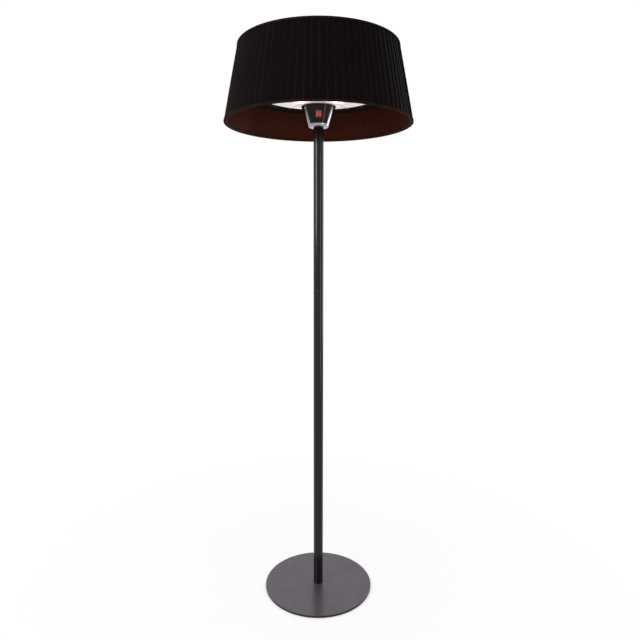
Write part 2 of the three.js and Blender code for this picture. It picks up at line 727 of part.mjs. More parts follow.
function heaterStem() {
  return turned([
    [STEM_BOTTOM_RADIUS - STEM_WALL, stemBottom],
    [STEM_BOTTOM_RADIUS, stemBottom],
    [STEM_TOP_RADIUS, stemTop],
    [STEM_TOP_RADIUS - STEM_WALL, stemTop],
  ]);
}

add('lid_gasket', lidGasket(), finishes.rubber);
add('cup_lid', cupLid(), finishes.chrome);
add('heater_stem', heaterStem(), finishes.aluminium);

// ---------------------------------------------------------------- the shade's wall

// Outside radius of the shade at a height, and the radius of a surface that lies deeper in its wall.
function shadeRadius(height, depth = 0) {
  const share = (height - shadeBottom) / SHADE_HEIGHT;
  return SHADE_BOTTOM_RADIUS + (SHADE_TOP_RADIUS - SHADE_BOTTOM_RADIUS) * share - depth;
}

const pleatCrest = TRIM_THICKNESS + FIT;
const fabricBack = pleatCrest + PLEAT_DEPTH + FABRIC_THICKNESS;
const liningFront = fabricBack + FIT;
const liningBack = liningFront + LINING_THICKNESS;
const hem = TRIM_THICKNESS + FIT; // from the shade's edge to the fabric's edge

// ---------------------------------------------------------------- reflector and casing

const carrierRadius = shadeRadius(carrierBottom + CARRIER_LIP, liningBack) - CARRIER_TO_LINING;

// The dish in section, as a quarter ellipse outside its flat middle, grown by a thickness.
function dishCurve(grown) {
  const steps = 5;
  const reach = MOUTH_RADIUS + grown - REFLECTOR_FLAT_RADIUS;
  return Array.from({ length: steps + 1 }, (_, i) => {
    const angle = (Math.PI / 2) * (i / steps);
    return [
      REFLECTOR_FLAT_RADIUS + reach * Math.sin(angle),
      mouth + (REFLECTOR_DEPTH + grown) * Math.cos(angle),
    ];
  });
}

// Height of the dish's underside at a radius, in the middle of a facet, where the dish hangs lowest.
function dishHeight(radius) {
  const reach = radius / Math.cos(Math.PI / ROUND_SEGMENTS);
  const curve = dishCurve(0);
  const next = Math.max(1, curve.findIndex(([far]) => far >= reach));
  const [[nearRadius, nearHeight], [farRadius, farHeight]] = [curve[next - 1], curve[next]];
  const share = Math.max(0, (reach - nearRadius) / (farRadius - nearRadius));
  return nearHeight + (farHeight - nearHeight) * share;
}

const lamps = [
  { name: 'outer', radius: OUTER_LAMP_RADIUS },
  { name: 'inner', radius: INNER_LAMP_RADIUS },
];

const LAMP_STEPS = 24; // straight lengths that make up a tube

// The azimuths where a lamp's tube ends, either side of the back.
function lampEnds({ radius }) {
  const half = THREE.MathUtils.radToDeg(LAMP_END_SPAN / radius);
  return { from: 90 + half, to: 450 - half };
}

// Stands at a tube's end: Z along the tube out of its end, X away from the heater's axis.
function atLampEnd(lamp, end) {
  const azimuth = lampEnds(lamp)[end];
  const angle = radians(azimuth);
  const outward = new THREE.Vector3(Math.cos(angle), Math.sin(angle), 0);
  const onward = new THREE.Vector3(-Math.sin(angle), Math.cos(angle), 0).multiplyScalar(end === 'to' ? 1 : -1);
  const matrix = new THREE.Matrix4().makeBasis(outward, onward.clone().cross(outward), onward);
  return matrix.setPosition(lamp.radius * Math.cos(angle), lamp.radius * Math.sin(angle), lampHeight);
}

// The upright stem of an end cap, from the lamp's height, with a gap round it where it is a hole.
function capStem(lamp, end, gap = 0) {
  const middle = new THREE.Vector3(0, 0, CAP_LENGTH / 2).applyMatrix4(atLampEnd(lamp, end));
  const top = dishHeight(lamp.radius) + REFLECTOR_WALL + CAP_STEM_ABOVE_REFLECTOR;
  return bar(CAP_STEM_RADIUS + gap, lampHeight, top + gap, { segments: 12, x: middle.x, y: middle.y });
}

function reflector() {
  const centreHole = STEM_TOP_RADIUS - 2 * STEM_WALL;
  const rim = MOUTH_RADIUS + REFLECTOR_RIM;
  const dish = turned([
    [centreHole, mouth + REFLECTOR_DEPTH],
    ...dishCurve(0),
    [rim, mouth],
    [rim, mouth + REFLECTOR_WALL],
    [MOUTH_RADIUS + REFLECTOR_WALL, mouth + REFLECTOR_WALL],
    ...dishCurve(REFLECTOR_WALL).slice(0, -1).reverse(),
    [centreHole, reflectorTop],
  ]);
  const holes = lamps.flatMap((lamp) => ['from', 'to'].map((end) => capStem(lamp, end, FIT)));
  return cut(dish, ...holes, ...casingScrewHoles());
}

const casingScrewCircle = MOUTH_RADIUS + REFLECTOR_RIM - CASING_SCREW_HEAD_RADIUS;
const casingScrewTop = casingBottom + CASING_WALL;

function casingScrewSpots() {
  return Array.from({ length: CASING_SCREW_COUNT }, (_, i) => (
    turnedAbout((360 * (i + 0.5)) / CASING_SCREW_COUNT)
  ));
}

function casingScrewHoles() {
  return casingScrewSpots().map((matrix) => bar(CASING_SCREW_RADIUS + FIT, carrierBottom - 1, casingScrewTop + 1, {
    segments: 10, matrix, x: casingScrewCircle,
  }));
}

function casingScrew(spot) {
  const head = casingScrewTop + FIT;
  const outline = [
    [0, head - CASING_SCREW_LENGTH],
    [CASING_SCREW_RADIUS, head - CASING_SCREW_LENGTH],
    [CASING_SCREW_RADIUS, head],
    [CASING_SCREW_HEAD_RADIUS, head],
    [CASING_SCREW_HEAD_RADIUS * 0.8, head + CASING_SCREW_HEAD_HEIGHT * 0.7],
    [0, head + CASING_SCREW_HEAD_HEIGHT],
  ];
  return solid(turnedGeometry(outline, 12).translate(casingScrewCircle, 0, 0).applyMatrix4(spot));
}

function carrierRing() {
  const top = carrierBottom + CARRIER_THICKNESS;
  const plate = turned([
    [MOUTH_RADIUS, carrierBottom],
    [carrierRadius, carrierBottom],
    [carrierRadius, carrierBottom + CARRIER_LIP],
    [carrierRadius - CARRIER_THICKNESS, carrierBottom + CARRIER_LIP],
    [carrierRadius - CARRIER_THICKNESS, top],
    [MOUTH_RADIUS, top],
  ], 44);
  return cut(plate, ...casingScrewHoles());
}

function casing() {
  const foot = MOUTH_RADIUS + 2 * REFLECTOR_WALL + FIT;
  const shoulder = foot - CASING_DRAFT;
  // The side wall and the rounded shoulder, grown outwards by a thickness.
  const side = (grown) => {
    const steps = 3;
    const curve = Array.from({ length: steps + 1 }, (_, i) => {
      const angle = (Math.PI / 2) * (i / steps);
      return [
        shoulder - CASING_ROUND + (CASING_ROUND + grown) * Math.cos(angle),
        casingTop - CASING_WALL - CASING_ROUND + (CASING_ROUND + grown) * Math.sin(angle),
      ];
    });
    return curve;
  };
  const shell = turned([
    [foot, casingBottom],
    [foot + CASING_FLANGE, casingBottom],
    [foot + CASING_FLANGE, casingBottom + CASING_WALL],
    [foot + CASING_WALL, casingBottom + CASING_WALL],
    ...side(CASING_WALL),
    [ROD_RADIUS + FIT, casingTop],
    [ROD_RADIUS + FIT, casingTop - CASING_WALL],
    ...side(0).reverse(),
  ]);
  return cut(shell, ...casingScrewHoles());
}

add('carrier_ring', carrierRing(), finishes.casingPaint);
add('reflector', reflector(), finishes.aluminium);
add('casing', casing(), finishes.casingPaint);
casingScrewSpots().forEach((spot, i) => add(`casing_screw_${i + 1}`, casingScrew(spot), finishes.zincSteel));
add('thermal_cutout', bar(CUTOUT_RADIUS, reflectorTop + FIT, reflectorTop + FIT + CUTOUT_HEIGHT, {
  x: STEM_TOP_RADIUS + CUTOUT_OFFSET / 2,
}), finishes.ceramic);

// ---------------------------------------------------------------- lamps

function lampTube(lamp) {
  const { from, to } = lampEnds(lamp);
  const curve = new LevelArc(lamp.radius, lampHeight, from, to);
  return swept(curve, LAMP_TUBE_RADIUS, { steps: LAMP_STEPS, sides: 6, bore: LAMP_TUBE_RADIUS - LAMP_TUBE_WALL });
}

function lampFilament(lamp) {
  const { from, to } = lampEnds(lamp);
  const inside = THREE.MathUtils.radToDeg((CAP_SPIGOT_LENGTH + FIT) / lamp.radius);
  const curve = new LevelArc(lamp.radius, lampHeight, from + inside, to - inside);
  return swept(curve, FILAMENT_RADIUS, { steps: LAMP_STEPS, sides: 4 });
}

function lampCap(lamp, end) {
  const matrix = atLampEnd(lamp, end);
  const body = bar(CAP_RADIUS, FIT, CAP_LENGTH, { segments: 12, matrix });
  const spigot = bar(CAP_SPIGOT_RADIUS, -CAP_SPIGOT_LENGTH, FIT + 1, { segments: 8, matrix });
  return join(body, spigot, capStem(lamp, end));
}

// A spring clip: a strip down from the reflector that hooks round the middle of one straight length of the tube
// and leaves its underside open.
function lampClip(lamp, share) {
  const grip = LAMP_TUBE_RADIUS + FIT;
  const { from, to } = lampEnds(lamp);
  const step = (to - from) / LAMP_STEPS;
  const matrix = turnedAbout(from + step * (Math.floor(LAMP_STEPS * share) + 0.5));
  const x = lamp.radius * Math.cos(radians(step / 2));
  const lying = new THREE.Matrix4().makeRotationX(-Math.PI / 2).setPosition(x, 0, lampHeight);
  const hookMatrix = matrix.clone().multiply(lying);
  const half = CLIP_WIDTH / 2;
  const hook = cut(
    bar(grip + CLIP_STRIP, -half, half, { segments: 16, matrix: hookMatrix }),
    bar(grip, -half - 1, half + 1, { segments: 16, matrix: hookMatrix }),
    block([x - half, -half - 1, lampHeight - 2 * grip], [x + half, half + 1, lampHeight], matrix),
  );
  const top = dishHeight(Math.hypot(x + half, half)) - FIT;
  const strip = block([x - half, -half, lampHeight + grip / 2], [x + half, half, top], matrix);
  return cut(join(hook, strip), bar(grip, -half - 1, half + 1, { segments: 16, matrix: hookMatrix }));
}

for (const lamp of lamps) {
  add(`${lamp.name}_lamp_tube`, lampTube(lamp), finishes.quartz);
  add(`${lamp.name}_lamp_filament`, lampFilament(lamp), finishes.filament);
  add(`${lamp.name}_lamp_cap_1`, lampCap(lamp, 'from'), finishes.ceramic);
  add(`${lamp.name}_lamp_cap_2`, lampCap(lamp, 'to'), finishes.ceramic);
  CLIP_SHARES.forEach((share, i) => {
    add(`${lamp.name}_lamp_clip_${i + 1}`, lampClip(lamp, share), finishes.steelWire);
  });
}

// ---------------------------------------------------------------- guard

// Rings and spokes of wire, welded into one grille that lies under the carrier ring and round the stem.
function guard() {
  const inner = stemRadius(guardHeight - GUARD_WIRE_RADIUS) + FIT + GUARD_WIRE_RADIUS;
  const outer = MOUTH_RADIUS + REFLECTOR_RIM / 2;
  const rings = Array.from({ length: GUARD_RING_COUNT }, (_, i) => {
    const radius = inner + ((outer - inner) * i) / (GUARD_RING_COUNT - 1);
    const geometry = new THREE.TorusGeometry(radius, GUARD_WIRE_RADIUS, 4, 36);
    return solid(geometry.translate(0, 0, guardHeight));
  });
  const along = new THREE.Matrix4().makeRotationY(Math.PI / 2);
  const spokes = Array.from({ length: GUARD_SPOKES }, (_, i) => {
    const matrix = new THREE.Matrix4().makeTranslation(0, 0, guardHeight)
      .multiply(turnedAbout((360 * i) / GUARD_SPOKES)).multiply(along);
    return bar(GUARD_WIRE_RADIUS, inner, outer, { segments: 4, matrix });
  });
  return join(...rings, ...spokes);
}

add('wire_guard', guard(), finishes.steelWire);

// ---------------------------------------------------------------- shade

function shadeBand(bottom, top, outer, inner, segments = PLEAT_COUNT) {
  return turned([
    [shadeRadius(bottom, inner), bottom],
    [shadeRadius(bottom, outer), bottom],
    [shadeRadius(top, outer), top],
    [shadeRadius(top, inner), top],
  ], segments);
}

// Knife pleats: each rises slowly to its crest and drops back quickly.
function pleatedOutline(radius) {
  const points = [];
  const profile = [[0, 0], [0.72, 1], [0.9, 1]];
  for (let i = 0; i < PLEAT_COUNT; i++) {
    for (const [along, rise] of profile) {
      const angle = (2 * Math.PI * (i + along)) / PLEAT_COUNT;
      const reach = radius - PLEAT_DEPTH * (1 - rise);
      points.push(new THREE.Vector2(reach * Math.cos(angle), reach * Math.sin(angle)));
    }
  }
  return points;
}

function shadeFabric() {
  const bottom = shadeBottom + hem;
  const top = shadeTop - hem;
  const bottomRadius = shadeRadius(bottom, pleatCrest);
  const topRadius = shadeRadius(top, pleatCrest);
  const geometry = new THREE.ExtrudeGeometry(new THREE.Shape(pleatedOutline(bottomRadius)), {
    depth: top - bottom, bevelEnabled: false,
  });
  // The pleats narrow towards the top with the cone.
  const position = geometry.attributes.position;
  for (let i = 0; i < position.count; i++) {
    const share = position.getZ(i) / (top - bottom);
    const scale = 1 + (topRadius / bottomRadius - 1) * share;
    position.setXYZ(i, position.getX(i) * scale, position.getY(i) * scale, position.getZ(i) + bottom);
  }
  const inside = turned([
    [0, bottom - 1],
    [shadeRadius(bottom - 1, fabricBack), bottom - 1],
    [shadeRadius(top + 1, fabricBack), top + 1],
    [0, top + 1],
  ], PLEAT_COUNT);
  return cut(solid(geometry), inside);
}

// Tape round the edge of the fabric and under the lining. edge is the shade's bottom or top, and inward is
// 1 or -1, into the shade.
function shadeTrim(edge, inward) {
  const fold = edge + inward * TRIM_THICKNESS;
  const far = edge + inward * TRIM_HEIGHT;
  const outline = [
    [shadeRadius(edge), edge],
    [shadeRadius(far), far],
    [shadeRadius(far, TRIM_THICKNESS), far],
    [shadeRadius(fold, TRIM_THICKNESS), fold],
    [shadeRadius(fold, liningBack), fold],
    [shadeRadius(edge, liningBack), edge],
  ];
  return turned(outline, PLEAT_COUNT);
}

// The wire rings lie inside the shade, against the lining.
const ringSlope = Math.hypot(1, (SHADE_BOTTOM_RADIUS - SHADE_TOP_RADIUS) / SHADE_HEIGHT);
const ringInset = liningBack + FIT + RING_WIRE_RADIUS * ringSlope;
const ringEdge = RING_WIRE_RADIUS + TRIM_THICKNESS; // from the shade's edge to the wire's middle

function wireRing(height) {
  const radius = shadeRadius(height, ringInset);
  const geometry = new THREE.TorusGeometry(radius, RING_WIRE_RADIUS, 5, PLEAT_COUNT / 2);
  return solid(geometry.translate(0, 0, height));
}

// Four arms drop from the top ring to a hub that the knob clamps on the casing. They end at the ring's wire.
function shadeSpider() {
  const ringHeight = shadeTop - ringEdge;
  const ringRadius = shadeRadius(ringHeight, ringInset) - RING_WIRE_RADIUS - FIT;
  const hubMiddle = (hubBottom + hubTop) / 2;
  const hub = ring(ROD_RADIUS + FIT, SPIDER_HUB_RADIUS, hubBottom, hubTop, 24);
  const armStart = SPIDER_HUB_RADIUS - 2 * SPIDER_ARM_RADIUS;
  const rise = ringHeight - hubMiddle;
  const armMiddle = hubBottom + SPIDER_ARM_RADIUS;
  const line = new THREE.CatmullRomCurve3([
    new THREE.Vector3(armStart, 0, armMiddle),
    new THREE.Vector3(armStart + 0.15 * ringRadius, 0, armMiddle + 0.03 * rise),
    new THREE.Vector3(armStart + 0.35 * ringRadius, 0, armMiddle + 0.4 * rise),
    new THREE.Vector3(0.78 * ringRadius, 0, ringHeight - 0.06 * rise),
    new THREE.Vector3(ringRadius, 0, ringHeight),
  ], false, 'centripetal');
  const arms = Array.from({ length: SPIDER_ARMS }, (_, i) => {
    const path = new THREE.CatmullRomCurve3(
      line.points.map((point) => point.clone().applyMatrix4(turnedAbout((360 * (i + 0.5)) / SPIDER_ARMS))),
      false,
      'centripetal',
    );
    return swept(path, SPIDER_ARM_RADIUS, { steps: 12, sides: 6 });
  });
  const rodHole = bar(ROD_RADIUS + FIT, hubBottom - 1, hubTop + NUT_HEIGHT, { segments: 24 });
  return cut(join(hub, ...arms), rodHole);
}

function spiderKnob() {
  const waist = NUT_RADIUS * 0.75;
  const bore = ROD_RADIUS + FIT;
  return turned([
    [0, nutBottom + NUT_THREAD_DEPTH],
    [bore, nutBottom + NUT_THREAD_DEPTH],
    [bore, nutBottom],
    [waist, nutBottom],
    [waist, nutBottom + NUT_HEIGHT * 0.2],
    [NUT_RADIUS, nutBottom + NUT_HEIGHT * 0.35],
    [NUT_RADIUS, nutBottom + NUT_HEIGHT * 0.75],
    [NUT_RADIUS * 0.8, nutBottom + NUT_HEIGHT * 0.95],
    [0, nutBottom + NUT_HEIGHT],
  ], 16);
}

add('shade_fabric', shadeFabric(), finishes.shadeFabric);
add('shade_lining', shadeBand(shadeBottom + hem, shadeTop - hem, liningFront, liningBack), finishes.shadeLining);
add('shade_bottom_trim', shadeTrim(shadeBottom, 1), finishes.shadeTrim);
add('shade_top_trim', shadeTrim(shadeTop, -1), finishes.shadeTrim);
add('shade_bottom_ring', wireRing(shadeBottom + ringEdge), finishes.casingPaint);
add('shade_top_ring', wireRing(shadeTop - ringEdge), finishes.casingPaint);
add('shade_spider', shadeSpider(), finishes.casingPaint);
add('spider_knob', spiderKnob(), finishes.casingPaint);

export default heater;
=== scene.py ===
"""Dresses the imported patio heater: smooth metal, pleated fabric, glowing ring lamps, and a plain pale studio.

Each operator makes one piece or one group of like pieces, in metres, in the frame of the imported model.
Shapes are numpy surfaces: grids of points over two parameters, closed at their seams and poles.
"""

import json
import math

import bmesh
import bpy
import numpy as np
from bpy.props import FloatProperty, FloatVectorProperty, IntProperty, PointerProperty
from mathutils import Matrix, Vector


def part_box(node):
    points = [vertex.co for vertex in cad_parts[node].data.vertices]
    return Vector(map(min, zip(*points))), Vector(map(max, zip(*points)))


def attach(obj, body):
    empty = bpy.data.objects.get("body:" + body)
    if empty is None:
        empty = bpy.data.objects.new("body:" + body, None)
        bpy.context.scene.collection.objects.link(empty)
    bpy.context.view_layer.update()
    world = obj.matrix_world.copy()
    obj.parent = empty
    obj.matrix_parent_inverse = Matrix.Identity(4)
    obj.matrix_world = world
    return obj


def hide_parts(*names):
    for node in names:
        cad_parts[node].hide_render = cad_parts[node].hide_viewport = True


bl_info = {
    "name": "Patio heater",
    "version": (1, 0, 0),
    "blender": (4, 5, 0),
    "location": "View3D > Sidebar > Heater",
    "description": "Makes the visible pieces of an infrared patio heater with a pleated shade",
    "category": "Object",
}

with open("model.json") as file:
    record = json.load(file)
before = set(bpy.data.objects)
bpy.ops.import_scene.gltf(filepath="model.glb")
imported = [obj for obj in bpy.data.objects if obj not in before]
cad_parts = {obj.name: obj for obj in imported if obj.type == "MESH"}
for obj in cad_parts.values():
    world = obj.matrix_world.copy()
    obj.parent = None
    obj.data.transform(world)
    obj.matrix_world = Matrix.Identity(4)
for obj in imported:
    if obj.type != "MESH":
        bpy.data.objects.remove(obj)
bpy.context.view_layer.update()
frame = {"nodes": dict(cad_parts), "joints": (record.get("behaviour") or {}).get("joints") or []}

TURN = 2 * np.pi
MM = 0.001
STAND = "stand"
SIDES = (("left", -1), ("right", 1))
UP = (0, 0, 1)
MERGE = 1e-6  # points nearer than this, in metres, are one point
SHARP = 38  # faces that meet at more degrees than this keep their corner


def low(node):
    """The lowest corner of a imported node."""
    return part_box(node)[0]


def high(node):
    """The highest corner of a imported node."""
    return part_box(node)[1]


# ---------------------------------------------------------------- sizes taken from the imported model

BASE_RADIUS = high("base_plate").x
POLE_RADIUS = high("upper_pole").x
POLE_WALL = 1.5 * MM
ROD_HOLE = 5.3 * MM
FEET, CASING_SCREWS = 6, 4

CUP_BOTTOM, CUP_TOP = low("control_cup").z, high("control_cup").z
CUP_RADIUS = high("control_cup").x
CUP_WALL = 2 * MM
CUP_CORNER = 10 * MM
SLOPE = math.radians(20.7)
WINDOW_HALF, LIP_HALF = math.radians(48), math.radians(63)
PANEL_SCREW_ANGLE = math.radians(56.5)
WINDOW_BOTTOM = CUP_BOTTOM + 10 * MM
FRONT = -np.pi / 2

SWITCH_HEIGHT = CUP_TOP - 31 * MM
KEY_PIVOT = Vector(frame["joints"][0]["pos_m"])
KEY_SPACING = abs(KEY_PIVOT.x)
KEY_TILT = math.radians(10)
BEZEL_SIZE = np.array([26.4, 30.2]) * MM
SWITCH_BODY_SIZE = np.array([21.6, 25.4]) * MM

MOUTH = low("reflector").z
DISH_DEPTH = 34 * MM
DISH_RADIUS = 230 * MM
DISH_FLAT = 70 * MM
DISH_WALL = 1.2 * MM
LAMP_HEIGHT = (low("outer_lamp_tube").z + high("outer_lamp_tube").z) / 2
LAMP_RADII = {"outer": 150 * MM, "inner": 112 * MM}
LAMP_END_SPAN = 37 * MM

SHADE_BOTTOM, SHADE_TOP = low("shade_bottom_trim").z, high("shade_top_trim").z
SHADE_BOTTOM_RADIUS = high("shade_bottom_trim").x
SHADE_TOP_RADIUS = SHADE_BOTTOM_RADIUS - 53 * MM
PLEATS = 88
SHADE_GIRTH = TURN * (SHADE_BOTTOM_RADIUS + SHADE_TOP_RADIUS) / 2
CREST = 6  # the walk's point that stands highest
RING_WIRE, RING_INSET = 3 * MM, 3.8 * MM

# ---------------------------------------------------------------- grids and meshes


class Grid:
    """Points over two parameters, as copies x rows x columns x 3. A wrapped direction meets its own start.
    across gives each column's place in the UV, where distance along the columns won't do. gone marks the
    faces that are left out, by row and column."""

    def __init__(self, points, wrap_rows=False, wrap_columns=False, across=None, gone=None):
        points = np.asarray(points, dtype=float)
        self.points = points if points.ndim == 4 else points[None]
        self.wraps = (wrap_rows, wrap_columns)
        self.across = across
        self.kept = slice(None) if gone is None else ~gone.ravel()

    def closed(self, values):
        """The values with the first row or column once more at the end, where the grid wraps."""
        for axis, wraps in zip((1, 2), self.wraps):
            if wraps:
                values = np.concatenate([values, values.take([0], axis=axis)], axis=axis)
        return values

    def quads(self, first):
        """Corner numbers of every quad, counted from the grid's first point."""
        count = np.prod(self.points.shape[:3])
        index = self.closed(first + np.arange(count).reshape(self.points.shape[:3]))
        corners = (index[:, :-1, :-1], index[:, :-1, 1:], index[:, 1:, 1:], index[:, 1:, :-1])
        return np.stack(corners, axis=-1).reshape(-1, 4)[self.kept]

    def uvs(self):
        """UV in metres: distance along the columns, and distance along the rows, as means over the grid."""
        points = self.closed(self.points)[0]
        across = np.linalg.norm(np.diff(points, axis=1), axis=2).mean(axis=0)
        along = np.linalg.norm(np.diff(points, axis=0), axis=2).mean(axis=1)
        u, v = (np.concatenate([[0], np.cumsum(steps)]) for steps in (across, along))
        u = u if self.across is None else self.across
        uv = np.stack(np.meshgrid(u, v), axis=-1)
        corners = (uv[:-1, :-1], uv[:-1, 1:], uv[1:, 1:], uv[1:, :-1])
        faces = np.tile(np.stack(corners, axis=2).reshape(-1, 4, 2), (len(self.points), 1, 1))
        return faces[self.kept].reshape(-1, 2)


def mesh_of(name, grids, sharp=SHARP):
    """One mesh of all grids, with its doubles merged, its faces turned outwards and its corners sharp."""
    points, quads, uvs, first = [], [], [], 0
    for grid in grids:
        points.append(grid.points.reshape(-1, 3))
        quads.append(grid.quads(first))
        uvs.append(grid.uvs())
        first += len(points[-1])
    points, quads, uvs = (np.concatenate(rows) for rows in (points, quads, uvs))
    mesh = bpy.data.meshes.new(name)
    mesh.vertices.add(len(points))
    mesh.vertices.foreach_set("co", points.ravel())
    mesh.loops.add(quads.size)
    mesh.loops.foreach_set("vertex_index", quads.ravel())
    mesh.polygons.add(len(quads))
    mesh.polygons.foreach_set("loop_start", np.arange(0, quads.size, 4))
    mesh.uv_layers.new(name="surface").data.foreach_set("uv", uvs.ravel())
    mesh.update(calc_edges=True)
    tidy(mesh)
    smooth(mesh, sharp)
    return mesh


def tidy(mesh):
    """Merges doubles and turns all faces outwards."""
    work = bmesh.new()
    work.from_mesh(mesh)
    bmesh.ops.remove_doubles(work, verts=work.verts, dist=MERGE)
    bmesh.ops.recalc_face_normals(work, faces=work.faces)
    work.to_mesh(mesh)
    work.free()


def smooth(mesh, sharp=SHARP):
    """Shades smoothly, but not over corners of more than sharp degrees."""
    mesh.polygons.foreach_set("use_smooth", np.ones(len(mesh.polygons), dtype=bool))
    mesh.set_sharp_from_angle(angle=math.radians(sharp))


def show(name, mesh, finish, replaces=(), body=STAND):
    """Puts a mesh in the scene as a piece that rides on a body and stands for the named nodes."""
    piece = bpy.data.objects.new(name, mesh)
    bpy.context.scene.collection.objects.link(piece)
    mesh.materials.clear()
    mesh.materials.append(finish())
    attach(piece, body)
    if replaces:
        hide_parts(*replaces)
    return piece


def cast(name, grids, finish, replaces=(), body=STAND, sharp=SHARP):
    """A piece made of grids."""
    return show(name, mesh_of(name, grids, sharp), finish, replaces, body)


# ---------------------------------------------------------------- shapes


def rounded(corners, radii, steps=5):
    """A closed outline whose corners are eased by quadratic curves: from a point one radius before each
    corner, through the pull of the corner, to a point one radius after it. No radius takes more than 0.4 of
    a side. A further point on each side keeps the shading of the straight stretches flat."""
    corners = np.asarray(corners, dtype=float)
    before = np.roll(corners, 1, axis=0) - corners
    after = np.roll(corners, -1, axis=0) - corners
    reach_before, reach_after = (np.linalg.norm(edge, axis=1, keepdims=True) for edge in (before, after))
    radii = np.broadcast_to(np.asarray(radii, dtype=float), len(corners))[:, None]
    reach = np.maximum(np.minimum(radii, 0.4 * np.minimum(reach_before, reach_after)), 1e-7)
    before, after = before / reach_before * reach, after / reach_after * reach
    start, end = corners + before, corners + after
    t = np.linspace(0, 1, steps)[None, :, None]
    curve = (1 - t) ** 2 * start[:, None] + 2 * t * (1 - t) * corners[:, None] + t**2 * end[:, None]
    flat_before, flat_after = (start + 0.2 * before)[:, None], (end + 0.2 * after)[:, None]
    return np.concatenate([flat_before, curve, flat_after], axis=1).reshape(-1, 2)


def lathe(profile, segments, ripple=None):
    """The profile's points (radius, height) go round the Z axis: x = r cos a, y = r sin a. The profile is a
    closed outline. A ripple is a function of (radius, height, angle) that gives the first two again, changed
    with the angle."""
    angle = np.arange(segments) / segments * TURN
    radius, height = (np.repeat(values[:, None], segments, axis=1) for values in np.asarray(profile).T)
    if ripple is not None:
        radius, height = ripple(radius, height, angle[None, :])
    points = np.stack([radius * np.cos(angle), radius * np.sin(angle), height], axis=-1)
    return Grid(points, wrap_rows=True, wrap_columns=True)


def sector(profile, middle, half, segments):
    """A closed outline carried round the Z axis between two angles, with a face over each end. Each end
    shrinks to the outline's own middle."""
    angle = np.linspace(middle - half, middle + half, segments)
    profile = np.asarray(profile)
    centre = profile.mean(axis=0)
    rings = np.repeat(profile[:, None, :], segments, axis=1)
    ends = np.repeat(centre[None, None, :], len(profile), axis=0)
    rings = np.concatenate([ends, rings, ends], axis=1)
    angle = np.concatenate([angle[:1], angle, angle[-1:]])
    points = np.stack([rings[..., 0] * np.cos(angle), rings[..., 0] * np.sin(angle), rings[..., 1]], axis=-1)
    return Grid(points, wrap_rows=True)


def placed(grid, matrix):
    """The grid's points after a placement."""
    matrix = np.array(matrix)
    points = grid.points @ matrix[:3, :3].T + matrix[:3, 3]
    return Grid(points, *grid.wraps)


def repeated(grid, matrices):
    """One copy of the grid for each placement."""
    matrices = np.array([np.array(matrix) for matrix in matrices])
    points = np.einsum("kij,rcj->krci", matrices[:, :3, :3], grid.points[0]) + matrices[:, None, None, :3, 3]
    return Grid(points, *grid.wraps)


def tube(path, radius, up, sides=12, closed=False):
    """A round wire along a path: at each point, a circle in the plane across the path. The circle's first
    direction is up x tangent, so up may never lie along the path. Open ends shrink to the path's own end."""
    path = np.asarray(path, dtype=float)
    if closed:
        tangent = np.roll(path, -1, axis=0) - np.roll(path, 1, axis=0)
    else:
        tangent = np.gradient(path, axis=0)
    tangent /= np.linalg.norm(tangent, axis=1, keepdims=True)
    side = np.cross(np.broadcast_to(up, path.shape), tangent)
    side /= np.linalg.norm(side, axis=1, keepdims=True)
    lift = np.cross(tangent, side)
    radius = np.broadcast_to(radius, len(path))[:, None, None]
    angle = (np.arange(sides) / sides * TURN)[None, :, None]
    points = path[:, None] + radius * (np.cos(angle) * side[:, None] + np.sin(angle) * lift[:, None])
    if not closed:
        first, last = (np.repeat(path[i][None, None], sides, axis=1) for i in (0, -1))
        points = np.concatenate([first, points, last])
    return Grid(points, wrap_rows=closed, wrap_columns=True)


def hoop(radius, height, wire, sides):
    """A closed round wire about the Z axis."""
    segments = 256
    angle = np.arange(segments) / segments * TURN
    path = np.stack([radius * np.cos(angle), radius * np.sin(angle), np.full(segments, height)], axis=-1)
    return tube(path, wire, UP, sides, closed=True)


def slab(outline, bottom, top, edge, steps=4):
    """An outline in X and Y raised from bottom to top, with rounded edges: near both faces the outline moves
    inwards along a quarter circle of the edge's size, and a ring just inside keeps the face's shading flat.
    The faces shrink to the outline's middle."""
    outline = np.asarray(outline, dtype=float)
    along = np.roll(outline, -1, axis=0) - np.roll(outline, 1, axis=0)
    outward = np.stack([along[:, 1], -along[:, 0]], axis=1)
    outward /= np.linalg.norm(outward, axis=1, keepdims=True)
    middle = outline.mean(axis=0)
    if ((outline - middle) * outward).sum() < 0:
        outward = -outward
    turn = np.linspace(0, np.pi / 2, steps)
    inset = edge * np.concatenate([[1.25], 1 - np.sin(turn), 1 - np.cos(turn), [1.25]])
    rise, fall = bottom + edge * (1 - np.cos(turn)), top - edge * (1 - np.sin(turn))
    height = np.concatenate([[bottom], rise, fall, [top]])
    rings = outline[None] - inset[:, None, None] * outward[None]
    rings = np.concatenate([rings, np.broadcast_to(height[:, None, None], (*rings.shape[:2], 1))], axis=2)
    low_end, high_end = (np.broadcast_to([*middle, z], (1, len(outline), 3)) for z in (bottom, top))
    return Grid(np.concatenate([low_end, rings, high_end]), wrap_columns=True)


def oblong(width, height, corner, steps=6):
    """A rectangle about the origin with rounded corners."""
    x, y = width / 2, height / 2
    return rounded([(-x, -y), (x, -y), (x, y), (-x, y)], corner, steps)


def turn_z(angle):
    """A turn about the Z axis."""
    return Matrix.Rotation(angle, 4, "Z")


